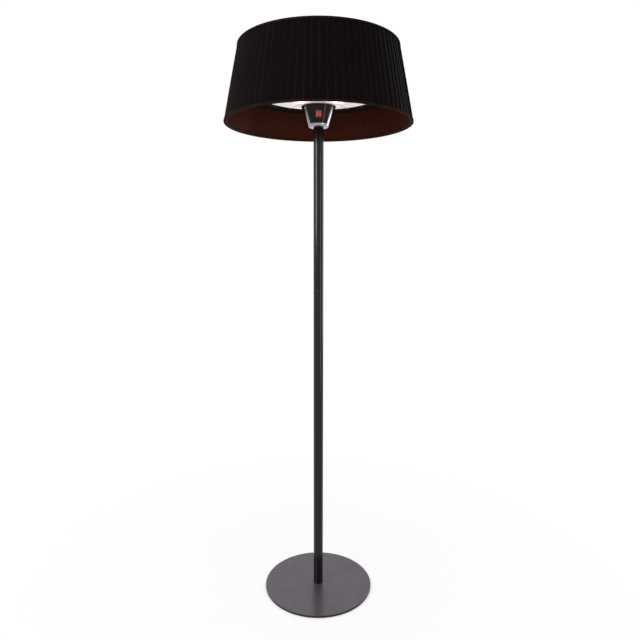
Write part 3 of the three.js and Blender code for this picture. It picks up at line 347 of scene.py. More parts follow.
def cut_away(piece, *cutters, crossing=False):
    """Subtracts the cutters' grids from a piece, and takes the cutters out again. A piece whose own grids
    cross each other is crossing."""
    for grids in cutters:
        tool = bpy.data.objects.new("cutter", mesh_of("cutter", grids))
        bpy.context.scene.collection.objects.link(tool)
        boolean = piece.modifiers.new("cut", "BOOLEAN")
        boolean.operation = "DIFFERENCE"
        boolean.solver = "EXACT"
        boolean.use_self = crossing
        boolean.object = tool
        apply_modifiers(piece)
        bpy.data.objects.remove(tool)
    smooth(piece.data)


def apply_modifiers(piece):
    """Writes the piece's modifiers into its mesh."""
    materials = list(piece.data.materials)
    shown = piece.evaluated_get(bpy.context.evaluated_depsgraph_get())
    mesh = bpy.data.meshes.new_from_object(shown)
    old = piece.data
    piece.modifiers.clear()
    piece.data = mesh
    bpy.data.meshes.remove(old)
    mesh.materials.clear()
    for material in materials:
        mesh.materials.append(material)


def softened(node, finish, edge=0.4 * MM):
    """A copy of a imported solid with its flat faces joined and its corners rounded."""
    doubles, flat, corner = 0.02 * MM, 2, 40  # the last two in degrees between faces
    mesh = frame["nodes"][node].data.copy()
    mesh.name = f"soft_{node}"
    work = bmesh.new()
    work.from_mesh(mesh)
    bmesh.ops.remove_doubles(work, verts=work.verts, dist=doubles)
    bmesh.ops.dissolve_limit(work, angle_limit=math.radians(flat), verts=work.verts, edges=work.edges)
    work.to_mesh(mesh)
    work.free()
    piece = show(f"soft_{node}", mesh, finish, (node,))
    bevel = piece.modifiers.new("rounded corners", "BEVEL")
    bevel.width = edge
    bevel.segments = 2
    bevel.limit_method = "ANGLE"
    bevel.angle_limit = math.radians(corner)
    apply_modifiers(piece)
    smooth(piece.data, corner)


# ---------------------------------------------------------------- node trees

COLOUR, VALUE, VECTOR = "NodeSocketColor", "NodeSocketFloat", "NodeSocketVector"


class Tree:
    """Short calls for adding nodes and wires to a node tree."""

    def __init__(self, tree):
        self.nodes, self.links = tree.nodes, tree.links

    def set(self, socket, value):
        """Wires another socket in, or sets a plain value."""
        if isinstance(value, bpy.types.NodeSocket):
            self.links.new(value, socket)
        else:
            socket.default_value = value

    def add(self, kind, values=None, **settings):
        """A node with its settings and its inputs' values."""
        node = self.nodes.new(kind)
        for key, value in settings.items():
            setattr(node, key, value)
        for key, value in (values or {}).items():
            self.set(node.inputs[key], value)
        return node

    def maths(self, operation, *values):
        """The result of one sum on one, two or three values."""
        node = self.add("ShaderNodeMath", dict(enumerate(values)), operation=operation)
        return node.outputs[0]

    def spread(self, value, low_in, high_in, low_out, high_out):
        """A value moved from one range to another and held inside it."""
        ends = {"From Min": low_in, "From Max": high_in, "To Min": low_out, "To Max": high_out}
        return self.add("ShaderNodeMapRange", {"Value": value, **ends}).outputs[0]

    def blend(self, factor, first, second, kind="MIX"):
        """Two colours mixed by a factor."""
        node = self.add("ShaderNodeMix", {0: factor, 6: first, 7: second}, data_type="RGBA", blend_type=kind)
        return node.outputs[2]

    def noise(self, vector, scale, detail=3.0, roughness=0.55):
        """Cloudy values from 0 to 1."""
        values = {"Vector": vector, "Scale": scale, "Detail": detail, "Roughness": roughness}
        return self.add("ShaderNodeTexNoise", values).outputs[0]

    def stretched(self, vector, scale):
        """The vector multiplied along each axis."""
        return self.add("ShaderNodeMapping", {"Vector": vector, "Scale": scale}).outputs[0]


def tint(r, g, b):
    """A colour, as linear red, green and blue, with full cover."""
    return (r, g, b, 1.0)


def toned(colour, share):
    """A colour made darker or lighter by a share."""
    return tint(*(share * part for part in colour))


def settings(group):
    """The values that a user may change, of one group."""
    return getattr(bpy.context.scene, group)


def effect(name, gives, **takes):
    """A new node group: its tree, its input sockets and its output sockets. It takes a vector and the named
    values, each a number, a vector or a colour by the length of its default, and gives the named outputs."""
    group = bpy.data.node_groups.new(name, "ShaderNodeTree")
    group.interface.new_socket("Vector", in_out="INPUT", socket_type=VECTOR)
    for label, default in takes.items():
        kind = {1: VALUE, 3: VECTOR, 4: COLOUR}[np.size(default)]
        socket = group.interface.new_socket(label, in_out="INPUT", socket_type=kind)
        socket.default_value = default
    for label in gives:
        kind = COLOUR if label == "Colour" else VALUE
        group.interface.new_socket(label, in_out="OUTPUT", socket_type=kind)
    tree = Tree(group)
    return group, tree, tree.add("NodeGroupInput").outputs, tree.add("NodeGroupOutput").inputs


SKIN = ("Colour", "Roughness", "Height")  # what an effect gives that changes the whole surface


def paint_grain(name):
    """Sprayed paint: a fine orange peel, small flecks of a lighter shade, and slow changes of gloss."""
    group, tree, given, out = effect(name, SKIN, Colour=tint(0.1, 0.1, 0.1), Roughness=0.4, Grain=900.0,
                                     Fleck=0.15)
    peel = tree.noise(given["Vector"], given["Grain"], 2.0)
    flecks = tree.noise(given["Vector"], tree.maths("MULTIPLY", given["Grain"], 2.5), 1.0)
    cloud = tree.noise(given["Vector"], 7.0, 3.0)
    light = tree.maths("MULTIPLY", tree.spread(flecks, 0.55, 0.75, 0.0, 1.0), given["Fleck"])
    paler = tree.blend(1.0, given["Colour"], tint(1.9, 1.9, 1.9), "MULTIPLY")
    flecked = tree.blend(light, given["Colour"], paler)
    tree.set(out["Colour"], tree.blend(tree.spread(cloud, 0.3, 0.7, 0.0, 0.12), flecked, tint(0, 0, 0)))
    wander = tree.spread(cloud, 0.3, 0.7, -0.05, 0.05)
    tree.set(out["Roughness"], tree.maths("ADD", given["Roughness"], wander))
    tree.set(out["Height"], peel)
    return group


def drawn_metal(name):
    """Metal drawn or turned in one direction: fine lines along the stretch, in gloss, in height and a little
    in tone."""
    group, tree, given, out = effect(name, SKIN, Colour=tint(0.8, 0.8, 0.8), Roughness=0.2,
                                     Stretch=(4.0, 900.0, 900.0), Lines=0.08)
    combed = tree.add("ShaderNodeVectorMath", {0: given["Vector"], 1: given["Stretch"]}, operation="MULTIPLY")
    lines = tree.noise(combed.outputs[0], 1.0, 4.0, 0.65)
    cloud = tree.noise(given["Vector"], 14.0, 3.0)
    half = tree.maths("MULTIPLY", given["Lines"], tree.maths("SUBTRACT", lines, 0.5))
    film = tree.spread(cloud, 0.35, 0.7, -0.02, 0.04)
    tree.set(out["Roughness"], tree.maths("ADD", tree.maths("ADD", given["Roughness"], half), film))
    darker = tree.blend(1.0, given["Colour"], tint(0.86, 0.86, 0.87), "MULTIPLY")
    tree.set(out["Colour"], tree.blend(tree.spread(lines, 0.3, 0.7, 0.0, 1.0), darker, given["Colour"]))
    tree.set(out["Height"], lines)
    return group


def woven_cloth(name):
    """Plain weave on a UV in metres: warp and weft as crossed sine waves, with thick and thin yarns, painted
    shade in the weave's hollows, slow changes of tone across the cloth, and lines of the Crease colour at even
    steps that come and go. On the pleated cloth these lines are a painted highlight along the crests, and on
    the lining a painted shadow at the seams."""
    group, tree, given, out = effect(name, SKIN, Colour=tint(0.02, 0.02, 0.02), Shade=tint(0.01, 0.01, 0.01),
                                     Crease=tint(0.02, 0.02, 0.02), Roughness=0.8, Threads=1600.0, Slub=0.4,
                                     Creases=0.0, Phase=0.5)
    axes = tree.add("ShaderNodeSeparateXYZ", {0: given["Vector"]}).outputs
    rate = tree.maths("MULTIPLY", given["Threads"], math.pi)
    warp, weft = (tree.maths("SINE", tree.maths("MULTIPLY", axes[axis], rate)) for axis in (0, 1))
    cross = tree.spread(tree.maths("MULTIPLY", warp, weft), -1.0, 1.0, 0.0, 1.0)
    yarns = tree.noise(tree.stretched(given["Vector"], (900.0, 6.0, 1.0)), 1.0, 3.0)
    cloud = tree.noise(given["Vector"], 9.0, 4.0)
    tree.set(out["Height"], tree.maths("ADD", cross, tree.maths("MULTIPLY", yarns, given["Slub"])))
    # painted shade: the weave's hollows take the darker Shade colour, mixed with random tone from the cloud
    hollow_shade_and_tone = tree.maths("MULTIPLY", tree.maths("ADD", cross, cloud), 0.5)
    plain = tree.blend(hollow_shade_and_tone, given["Shade"], given["Colour"])
    # lines of the Crease colour at even steps: painted light and shade along the pleats
    step = tree.maths("SUBTRACT", tree.maths("MULTIPLY", axes[0], given["Creases"]), given["Phase"])
    line = tree.spread(tree.maths("COSINE", tree.maths("MULTIPLY", step, TURN)), 0.88, 1.0, 0.0, 1.0)
    patches = tree.noise(tree.stretched(given["Vector"], (9.0, 2.0, 1.0)), 1.0, 3.0)
    creased = tree.maths("MULTIPLY", line, tree.spread(patches, 0.4, 0.6, 0.1, 1.0))
    tree.set(out["Colour"], tree.blend(creased, plain, given["Crease"]))
    wander = tree.spread(yarns, 0.3, 0.7, -0.05, 0.05)
    tree.set(out["Roughness"], tree.maths("ADD", given["Roughness"], wander))
    return group


def moulded_skin(name):
    """Moulded rubber, plastic or ceramic: a fine pitted skin with a few specks of another shade."""
    group, tree, given, out = effect(name, SKIN, Colour=tint(0.05, 0.05, 0.05), Speck=tint(0.02, 0.02, 0.02),
                                     Roughness=0.5, Grain=1500.0)
    cells = tree.add("ShaderNodeTexVoronoi", {"Vector": given["Vector"], "Scale": given["Grain"]})
    specks = tree.noise(given["Vector"], tree.maths("MULTIPLY", given["Grain"], 0.4), 2.0)
    speckled = tree.blend(tree.spread(specks, 0.6, 0.72, 0.0, 0.7), given["Colour"], given["Speck"])
    tree.set(out["Colour"], speckled)
    wander = tree.spread(specks, 0.3, 0.7, -0.04, 0.06)
    tree.set(out["Roughness"], tree.maths("ADD", given["Roughness"], wander))
    tree.set(out["Height"], cells.outputs["Distance"])
    return group


def settled_dust(name):
    """A thin film of dust on faces that look up, broken up by noise."""
    gives = ("Colour", "Roughness")
    group, tree, given, out = effect(name, gives, Colour=tint(0.1, 0.1, 0.1), Roughness=0.4, Amount=0.08)
    normal = tree.add("ShaderNodeNewGeometry").outputs["Normal"]
    up = tree.add("ShaderNodeSeparateXYZ", {0: normal}).outputs[2]
    patches = tree.noise(given["Vector"], 22.0, 5.0, 0.65)
    level, broken = tree.spread(up, 0.2, 0.95, 0.0, 1.0), tree.spread(patches, 0.3, 0.75, 0.2, 1.0)
    film = tree.maths("MULTIPLY", tree.maths("MULTIPLY", level, broken), given["Amount"])
    tree.set(out["Colour"], tree.blend(film, given["Colour"], tint(0.42, 0.40, 0.37)))
    tree.set(out["Roughness"], tree.maths("ADD", given["Roughness"], tree.maths("MULTIPLY", film, 0.8)))
    return group


def finger_smudges(name):
    """Faint wiped patches on gloss, where it turns a little rougher."""
    group, tree, given, out = effect(name, ("Roughness",), Roughness=0.1, Amount=0.1)
    patches = tree.spread(tree.noise(given["Vector"], 45.0, 4.0, 0.6), 0.5, 0.75, 0.0, 1.0)
    wiped = tree.maths("MULTIPLY", patches, given["Amount"])
    tree.set(out["Roughness"], tree.maths("ADD", given["Roughness"], wiped))
    return group


def dark_border(name):
    """Another colour beyond a distance from the Z axis: a dipped rim's own colour, and painted shade on a
    plate's side and on a chrome cup's top.
    """
    group, tree, given, out = effect(name, ("Colour",), Colour=tint(0.5, 0.5, 0.5),
                                     Border=tint(0.01, 0.01, 0.01), From=0.2, Soft=0.001)
    level = tree.add("ShaderNodeVectorMath", {0: given["Vector"], 1: (1.0, 1.0, 0.0)}, operation="MULTIPLY")
    reach = tree.add("ShaderNodeVectorMath", {0: level.outputs[0]}, operation="LENGTH").outputs["Value"]
    beyond = tree.spread(reach, given["From"], tree.maths("ADD", given["From"], given["Soft"]), 0.0, 1.0)
    tree.set(out["Colour"], tree.blend(beyond, given["Colour"], given["Border"]))
    return group


# ---------------------------------------------------------------- finishes


def dress(name, effects, bump=0.0, on_surface=False, **constants):
    """A material, made once. The effects are chained: what one gives, the next takes by the same name, and
    the shader takes the last. bump is the relief's height in metres. Constants are set on the shader."""
    if name in bpy.data.materials:
        return bpy.data.materials[name]
    material = bpy.data.materials.new(name)
    material.use_nodes = True
    tree = Tree(material.node_tree)
    shader = material.node_tree.nodes["Principled BSDF"]
    for key, value in constants.items():
        shader.inputs[key.replace("_", " ")].default_value = value
    source = tree.add("ShaderNodeUVMap", uv_map="surface") if on_surface else tree.add("ShaderNodeTexCoord")
    vector = source.outputs["UV" if on_surface else "Object"]
    carried = {}
    for build, values in effects.items():
        label = build.__name__.replace("_", " ")
        node = tree.add("ShaderNodeGroup", node_tree=bpy.data.node_groups.get(label) or build(label))
        tree.set(node.inputs["Vector"], vector)
        for key, value in {**carried, **values}.items():
            if key in node.inputs:
                tree.set(node.inputs[key], value)
        carried.update({socket.name: socket for socket in node.outputs})
    if "Colour" in carried:
        tree.set(shader.inputs["Base Color"], carried["Colour"])
    if "Roughness" in carried:
        tree.set(shader.inputs["Roughness"], carried["Roughness"])
    if bump and "Height" in carried:
        relief = tree.add("ShaderNodeBump", {"Strength": 1.0, "Distance": bump, "Height": carried["Height"]})
        tree.set(shader.inputs["Normal"], relief.outputs[0])
    return material


def metal(name, colour, roughness, stretch, bump, over=None, lines=0.08, metallic=1.0, on_surface=False):
    """Drawn metal, and the effects that lie over it."""
    drawn = {"Colour": tint(*colour), "Roughness": roughness, "Stretch": stretch, "Lines": lines}
    return dress(name, {drawn_metal: drawn, **(over or {})}, bump, on_surface, Metallic=metallic)


def moulding(name, colour, speck, roughness, grain, bump, over=None, **constants):
    """Rubber, plastic or ceramic out of a mould, and the effects that lie over it."""
    skin = {"Colour": tint(*colour), "Speck": tint(*speck), "Roughness": roughness, "Grain": grain}
    return dress(name, {moulded_skin: skin, **(over or {})}, bump, **constants)


def base_paint():
    """The base plate's metallic paint, with painted shade on its side."""
    # painted shade: the plate's outer edge and side are darkened
    side = {"Border": tint(0.012, 0.01, 0.011), "From": BASE_RADIUS - 0.9 * MM, "Soft": 0.6 * MM}
    return dress("base paint", {
        paint_grain: {"Colour": tint(*settings("heater_paint").base), "Roughness": 0.26, "Grain": 1100.0},
        dark_border: side,
        settled_dust: {"Amount": 0.04},
    }, bump=0.04 * MM, Metallic=0.55)


def pole_paint():
    """The pole's nearly black gloss paint."""
    return dress("pole paint", {
        paint_grain: {"Colour": tint(*settings("heater_paint").pole), "Roughness": 0.14, "Fleck": 0.2},
        finger_smudges: {"Amount": 0.06},
    }, bump=0.02 * MM, Specular_IOR_Level=0.24)


def casing_paint():
    """Matt black heatproof paint."""
    return dress("casing paint", {
        paint_grain: {"Colour": tint(0.0065, 0.0052, 0.005), "Roughness": 0.55, "Grain": 700.0},
        settled_dust: {"Amount": 0.12},
    }, bump=0.06 * MM, Specular_IOR_Level=0.05)


def zinc_plate():
    """Zinc on steel screws, couplers and rods."""
    smudges = {finger_smudges: {"Amount": 0.15}}
    return metal("zinc plate", (0.52, 0.53, 0.55), 0.38, (60.0, 60.0, 900.0), 0.03 * MM, smudges)


def bright_chrome():
    """The panel screws' chrome."""
    smudges = {finger_smudges: {"Amount": 0.12}}
    return metal("bright chrome", (0.50, 0.475, 0.485), 0.12, (30.0, 30.0, 700.0), 0.004 * MM, smudges)


def cup_chrome():
    """The cup's chrome, darkened all over and most at its top: a painted reflection of dark surroundings."""
    over = {
        # painted shade: the cup's upper part is darkened further, standing for dark surroundings that it
        # reflects
        dark_border: {"Border": tint(0.11, 0.09, 0.09), "From": CUP_RADIUS - 24 * MM, "Soft": 20 * MM},
        finger_smudges: {"Amount": 0.12},
    }
    # painted reflection: the chrome's colour is lowered to stand for the dark surroundings it reflects
    return metal("cup chrome", (0.36, 0.34, 0.345), 0.12, (30.0, 30.0, 700.0), 0.004 * MM, over)


def satin_chrome():
    """The lid's chrome, which is blasted to a satin that takes the lamps' light."""
    return metal("satin chrome", (0.72, 0.70, 0.69), 0.4, (3.0, 900.0, 1.0), 0.002 * MM, lines=0.04,
                 metallic=0.5, on_surface=True)


def wire_plate():
    """Bright plating on the lamps' clips."""
    return metal("wire plate", (0.92, 0.91, 0.89), 0.34, (500.0, 500.0, 500.0), 0.01 * MM)


def guard_plate():
    """The guard's bright plating, with its outermost ring dipped black."""
    dipped = {"Border": tint(0.01, 0.008, 0.008), "From": high("wire_guard").x - 5 * MM}
    return metal("guard plate", (0.92, 0.91, 0.89), 0.34, (500.0, 500.0, 500.0), 0.01 * MM,
                 {dark_border: dipped})


def dish_polish():
    """The dish's pale polish, which spreads the lamps' light."""
    return metal("dish polish", (0.98, 0.97, 0.965), 0.34, (3.0, 900.0, 1.0), 0.002 * MM, lines=0.03,
                 metallic=0.5, on_surface=True)


def stem_metal():
    """Spun aluminium with fine turning lines."""
    return metal("stem metal", (0.80, 0.79, 0.78), 0.28, (3.0, 1600.0, 1.0), 0.02 * MM, on_surface=True)


def panel_gloss():
    """The switch panel's black gloss."""
    smudges = {finger_smudges: {"Amount": 0.12}}
    return moulding("panel gloss", (0.008, 0.0048, 0.0046), (0.011, 0.007, 0.0065), 0.1, 400.0, 0.003 * MM,
                    smudges, Specular_IOR_Level=0.13)


def black_plastic():
    """Matt black plastic."""
    return moulding("black plastic", (0.012, 0.011, 0.011), (0.006, 0.006, 0.006), 0.42, 1500.0, 0.04 * MM,
                    Specular_IOR_Level=0.3)


def black_rubber():
    """Dull black rubber of the feet, the gland and the gasket."""
    dust = {settled_dust: {"Amount": 0.1}}
    return moulding("black rubber", (0.012, 0.012, 0.012), (0.02, 0.02, 0.02), 0.8, 1100.0, 0.08 * MM, dust)


def cable_sheath():
    """The lead's black sheath."""
    return moulding("cable sheath", (0.015, 0.015, 0.015), (0.01, 0.01, 0.01), 0.5, 1800.0, 0.03 * MM)


def white_ceramic():
    """Unglazed off-white ceramic."""
    return moulding("white ceramic", (0.78, 0.74, 0.66), (0.5, 0.46, 0.4), 0.55, 1300.0, 0.05 * MM)


def lit_key():
    """Red plastic, lit a little from within."""
    smudges = {finger_smudges: {"Amount": 0.1}}
    return moulding("lit key", (0.42, 0.045, 0.028), (0.36, 0.03, 0.02), 0.22, 900.0, 0.004 * MM, smudges,
                    Specular_IOR_Level=0.3, Emission_Color=tint(1.0, 0.16, 0.07), Emission_Strength=0.16)


def pleat_cloth():
    """The shade's black cloth, painted lighter along the crests of its pleats: a painted highlight."""
    shade = settings("heater_shade").cloth
    run = pleat_run(settings("heater_shade").pleat_depth)
    weave = {
        # painted highlight: the Crease colour, twice as light as the cloth, runs along each pleat's crest
        "Colour": tint(*shade), "Shade": toned(shade, 0.55), "Crease": toned(shade, 2.1), "Roughness": 0.72,
        "Threads": 1500.0, "Creases": 1 / run[-1], "Phase": run[CREST] / run[-1],
    }
    return dress("pleat cloth", {woven_cloth: weave}, bump=0.12 * MM, on_surface=True,
                 Specular_IOR_Level=0.015, Sheen_Weight=0.05, Sheen_Roughness=0.4,
                 Sheen_Tint=tint(0.5, 0.45, 0.47))


def lining_film():
    """The film inside the shade, painted darker at each pleat: a painted shadow of the pleats."""
    shade = settings("heater_shade").lining
    weave = {
        # painted shadow: the darker Crease colour lies along the seam of each pleat
        "Colour": tint(*shade), "Shade": toned(shade, 0.7), "Crease": toned(shade, 0.55), "Roughness": 0.48,
        "Threads": 1200.0, "Slub": 1.2, "Creases": PLEATS / SHADE_GIRTH,
    }
    return dress("lining film", {woven_cloth: weave}, bump=0.06 * MM, on_surface=True,
                 Specular_IOR_Level=0.03)


def ring_wrap():
    """Tape in the lining's colour, wound round the shade's wires. A crease shows where a turn laps the
    last."""
    shade = settings("heater_shade").lining
    weave = {
        "Colour": tint(*shade), "Shade": toned(shade, 0.7), "Crease": toned(shade, 0.4), "Roughness": 0.6,
        "Threads": 1800.0, "Creases": 60.0,
    }
    return dress("ring wrap", {woven_cloth: weave}, bump=0.08 * MM, on_surface=True, Specular_IOR_Level=0.03)


def trim_tape():
    """Fine black tape of the shade's edges."""
    weave = {
        "Colour": tint(0.0125, 0.0078, 0.0074), "Shade": tint(0.008, 0.005, 0.0048), "Roughness": 0.75,
        "Threads": 2400.0,
    }
    return dress("trim tape", {woven_cloth: weave}, bump=0.06 * MM, on_surface=True,
                 Specular_IOR_Level=0.015)


def stitch_thread():
    """Dark sewing thread."""
    return moulding("stitch thread", (0.022, 0.02, 0.02), (0.01, 0.01, 0.01), 0.6, 2500.0, 0.05 * MM)


def lamp_quartz():
    """Clear quartz, in which the coil's light glows."""
    glow = settings("heater_lamps")
    return dress("lamp quartz", {finger_smudges: {"Roughness": 0.08, "Amount": 0.15}},
                 Base_Color=tint(1.0, 0.95, 0.88), Transmission_Weight=0.75, IOR=1.46,
                 Emission_Color=tint(*glow.colour), Emission_Strength=glow.tube_strength)


def glowing_coil():
    """The hot wire of the coils."""
    glow = settings("heater_lamps")
    wire = {"Colour": tint(0.9, 0.6, 0.35), "Roughness": 0.5, "Stretch": (800.0, 800.0, 800.0)}
    return dress("glowing coil", {drawn_metal: wire}, Emission_Color=tint(*glow.colour),
                 Emission_Strength=glow.coil_strength)


def refinish(finish, *nodes):
    """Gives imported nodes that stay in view, or inside, their own finish."""
    material = finish()
    for name in nodes:
        mesh = frame["nodes"][name].data
        for number in range(len(mesh.materials)):
            mesh.materials[number] = material
        if not mesh.materials:
            mesh.materials.append(material)


# ---------------------------------------------------------------- base and pole


def base_plate():
    """A thin disc with an eased top edge, and a countersunk screw hole in its middle."""
    bottom, top = low("base_plate").z, high("base_plate").z
    sink = 5 * MM
    corners = [
        (ROD_HOLE, top), (BASE_RADIUS, top), (BASE_RADIUS, bottom), (ROD_HOLE + sink, bottom),
        (ROD_HOLE, bottom + sink),
    ]
    outline = rounded(corners, [0, 1.6 * MM, 0.6 * MM, 0, 0], 7)
    cast("floor_base", [lathe(outline, 256)], base_paint, ("base_plate",))


def foot_pads():
    """Rubber discs, a little hollow underneath, under the base's rim."""
    radius, hollow = 12 * MM, 0.5 * MM
    for number in range(1, FEET + 1):
        node = f"foot_pad_{number}"
        top = high(node).z
        under = [(radius * 0.8, 0), (radius * 0.7, hollow), (0, hollow)]
        corners = [(0, top), (radius, top), (radius, 0), *under]
        pad = lathe(rounded(corners, [0, 0.3 * MM, 0.7 * MM, 0.2 * MM, 0.2 * MM, 0]), 48)
        cast(f"rubber_foot_{number}", [placed(pad, above_floor(node))], black_rubber, (node,))


def above_floor(node):
    """A move from the origin to the middle of a node, at floor height."""
    middle = (low(node) + high(node)) / 2
    return Matrix.Translation((middle.x, middle.y, 0))


def pole_tubes():
    """Three steel tubes with eased ends. Their seams are hairlines."""
    bore = POLE_RADIUS - POLE_WALL
    for node in ("lower_pole", "middle_pole", "upper_pole"):
        bottom, top = low(node).z, high(node).z
        corners = [(bore, bottom), (POLE_RADIUS, bottom), (POLE_RADIUS, top), (bore, top)]
        wall = lathe(rounded(corners, 0.25 * MM, 4), 128)
        piece = cast(f"{node}_tube", [wall], pole_paint, (node,))
        if node == "lower_pole":
            drill = column(6.3 * MM, 0, POLE_RADIUS + 5 * MM)
            cut_away(piece, [placed(lathe(drill, 48), rearward())])


def column(radius, bottom, top):
    """The outline of a solid cylinder, to cut a hole with."""
    return [(0, bottom), (radius, bottom), (radius, top), (0, top)]


def rearward():
    """Turns +Z to +Y, at the height of the cable gland."""
    height = (low("cable_gland").z + high("cable_gland").z) / 2
    return Matrix.Translation((0, 0, height)) @ Matrix.Rotation(-math.pi / 2, 4, "X")


def gland():
    """A rubber cable gland: a notched collar against the pole, a domed nose, and a neck in the pole's
    wall."""
    inner, outer = low("cable_gland").y, high("cable_gland").y
    bore, neck, collar = 3.8 * MM, 6 * MM, 9 * MM
    seat = POLE_RADIUS + 0.3 * MM
    brim = seat + 1.8 * MM
    corners = [
        (bore, inner), (neck, inner), (neck, seat), (collar, seat), (collar, brim), (collar * 0.78, outer),
        (bore, outer),
    ]
    outline = rounded(corners, [0.2 * MM, 0.5 * MM, 0.1 * MM, 0.3 * MM, 0.5 * MM, 1.2 * MM, 0.4 * MM])

    def notches(radius, height, angle):
        """Sixteen shallow notches in the collar's rim, as a cosine in the angle."""
        depth = 0.35 * MM * np.clip((radius - neck) / (collar - neck), 0, 1)
        return radius - depth * (0.5 + 0.5 * np.cos(16 * angle)), height

    nose = placed(lathe(outline, 96, notches), rearward())
    cast("rubber_gland", [nose], black_rubber, ("cable_gland",))


# ---------------------------------------------------------------- control cup and switch


def cone_radius(height, offset=0.0):
    """Radius of the cup's side at a height, moved out along its normal."""
    return CUP_RADIUS - (CUP_TOP - height) * math.tan(SLOPE) + offset / math.cos(SLOPE)


def on_cup(azimuth, height):
    """A place on the cup's side: X along the side, Y up the slope, Z out of it."""
    radius = cone_radius(height)
    cosine, sine = math.cos(azimuth), math.sin(azimuth)
    out = Vector((math.cos(SLOPE) * cosine, math.cos(SLOPE) * sine, -math.sin(SLOPE)))
    along = Vector((-sine, cosine, 0))
    place = Matrix((along, out.cross(along), out)).transposed().to_4x4()
    place.translation = (radius * cosine, radius * sine, height)
    return place


def cup_and_panel():
    """A spun bright cup with a window in front, and a gloss panel that fills the window."""
    bore = POLE_RADIUS - POLE_WALL
    inside = CUP_BOTTOM + CUP_WALL
    tangent = CUP_CORNER * math.tan((np.pi / 2 - SLOPE) / 2)
    corners = [
        (bore, CUP_BOTTOM), (cone_radius(CUP_BOTTOM), CUP_BOTTOM), (CUP_RADIUS, CUP_TOP),
        (cone_radius(CUP_TOP, -CUP_WALL), CUP_TOP), (cone_radius(inside, -CUP_WALL), inside), (bore, inside),
    ]
    outline = rounded(corners, [0.3 * MM, tangent, 0.5 * MM, 0.5 * MM, 0.8 * tangent, 0.3 * MM], 9)
    cup = cast("bright_cup", [lathe(outline, 192)], cup_chrome, ("control_cup",))
    reach, clear = 2 * CUP_RADIUS, CUP_TOP + 1 * MM
    opening = [(1 * MM, WINDOW_BOTTOM), (reach, WINDOW_BOTTOM), (reach, clear), (1 * MM, clear)]
    cut_away(cup, [sector(opening, FRONT, WINDOW_HALF, 40)])
    panel = cast("gloss_panel", panel_grids(), panel_gloss, ("switch_panel",))
    recess = bezel_slab(BEZEL_SIZE + 0.6 * MM, 1.5 * MM, bezel_seat(), 4 * MM, 0.1 * MM)
    hole = bezel_slab(SWITCH_BODY_SIZE + 0.6 * MM, 0.6 * MM, -17 * MM, 4 * MM, 0.1 * MM)
    cut_away(panel, [recess], [hole], crossing=True)


def panel_grids():
    """The panel's face, which stands a little proud of the window, and a wider layer behind it."""
    gap, proud = 0.3 * MM, 0.8 * MM
    bottom, inner = WINDOW_BOTTOM + gap, -CUP_WALL - gap
    skin = [
        (cone_radius(bottom, inner), bottom), (cone_radius(bottom, proud), bottom),
        (cone_radius(CUP_TOP, proud), CUP_TOP), (cone_radius(CUP_TOP, inner), CUP_TOP),
    ]
    face_half = WINDOW_HALF - gap / cone_radius(WINDOW_BOTTOM)
    face = sector(rounded(skin, [0.2 * MM, 0.7 * MM, 0.7 * MM, 0.2 * MM], 5), FRONT, face_half, 96)
    lip_bottom, lip_back = WINDOW_BOTTOM - 3 * MM, inner - 2 * MM
    lip = [
        (cone_radius(lip_bottom, lip_back), lip_bottom), (cone_radius(lip_bottom, inner), lip_bottom),
        (cone_radius(CUP_TOP, inner), CUP_TOP), (cone_radius(CUP_TOP, lip_back), CUP_TOP),
    ]
    return [face, sector(lip, FRONT, LIP_HALF, 96)]


def bezel_seat():
    """Depth of the flat recess that the bezel sits in: the depth by which the cup's side falls away over half
    the bezel."""
    radius = cone_radius(SWITCH_HEIGHT)
    return -(radius - math.sqrt(radius**2 - (BEZEL_SIZE[0] / 2) ** 2)) * math.cos(SLOPE)


def bezel_slab(size, corner, bottom, top, edge, steps=4):
    """A rounded block that stands square to the cup's side, at the middle of the switch."""
    return placed(slab(oblong(*size, corner), bottom, top, edge, steps), on_cup(FRONT, SWITCH_HEIGHT))


def dome(radius, bottom, rise, steps):
    """Points of a quarter ellipse from the rim up to the middle."""
    angle = np.linspace(0, np.pi / 2, steps)
    return np.stack([radius * np.cos(angle), bottom + rise * np.sin(angle)], axis=1)


def panel_screws():
    """Domed bright screws with a cross recess."""
    radius, shank, shank_end = 3.4 * MM, 1.5 * MM, -7 * MM
    seat, edge, rise = 0.3 * MM, 0.7 * MM, 1.8 * MM
    head = dome(radius, edge, rise - 0.4 * MM, 9)
    outline = np.concatenate([[(0, shank_end), (shank, shank_end), (shank, seat), (radius, seat)], head])
    for name, side in SIDES:
        place = on_cup(FRONT + side * PANEL_SCREW_ANGLE, CUP_TOP - 7 * MM)
        solid = placed(lathe(outline, 48), place)
        screw = cast(f"bright_panel_screw_{name}", [solid], bright_chrome, (f"panel_screw_{name}",))
        for size in ((3.6 * MM, 0.7 * MM), (0.7 * MM, 3.6 * MM)):
            blade = slab(oblong(*size, 0.1 * MM, 3), rise - 0.5 * MM, rise + 1 * MM, 0.05 * MM, 2)
            cut_away(screw, [placed(blade, place)])


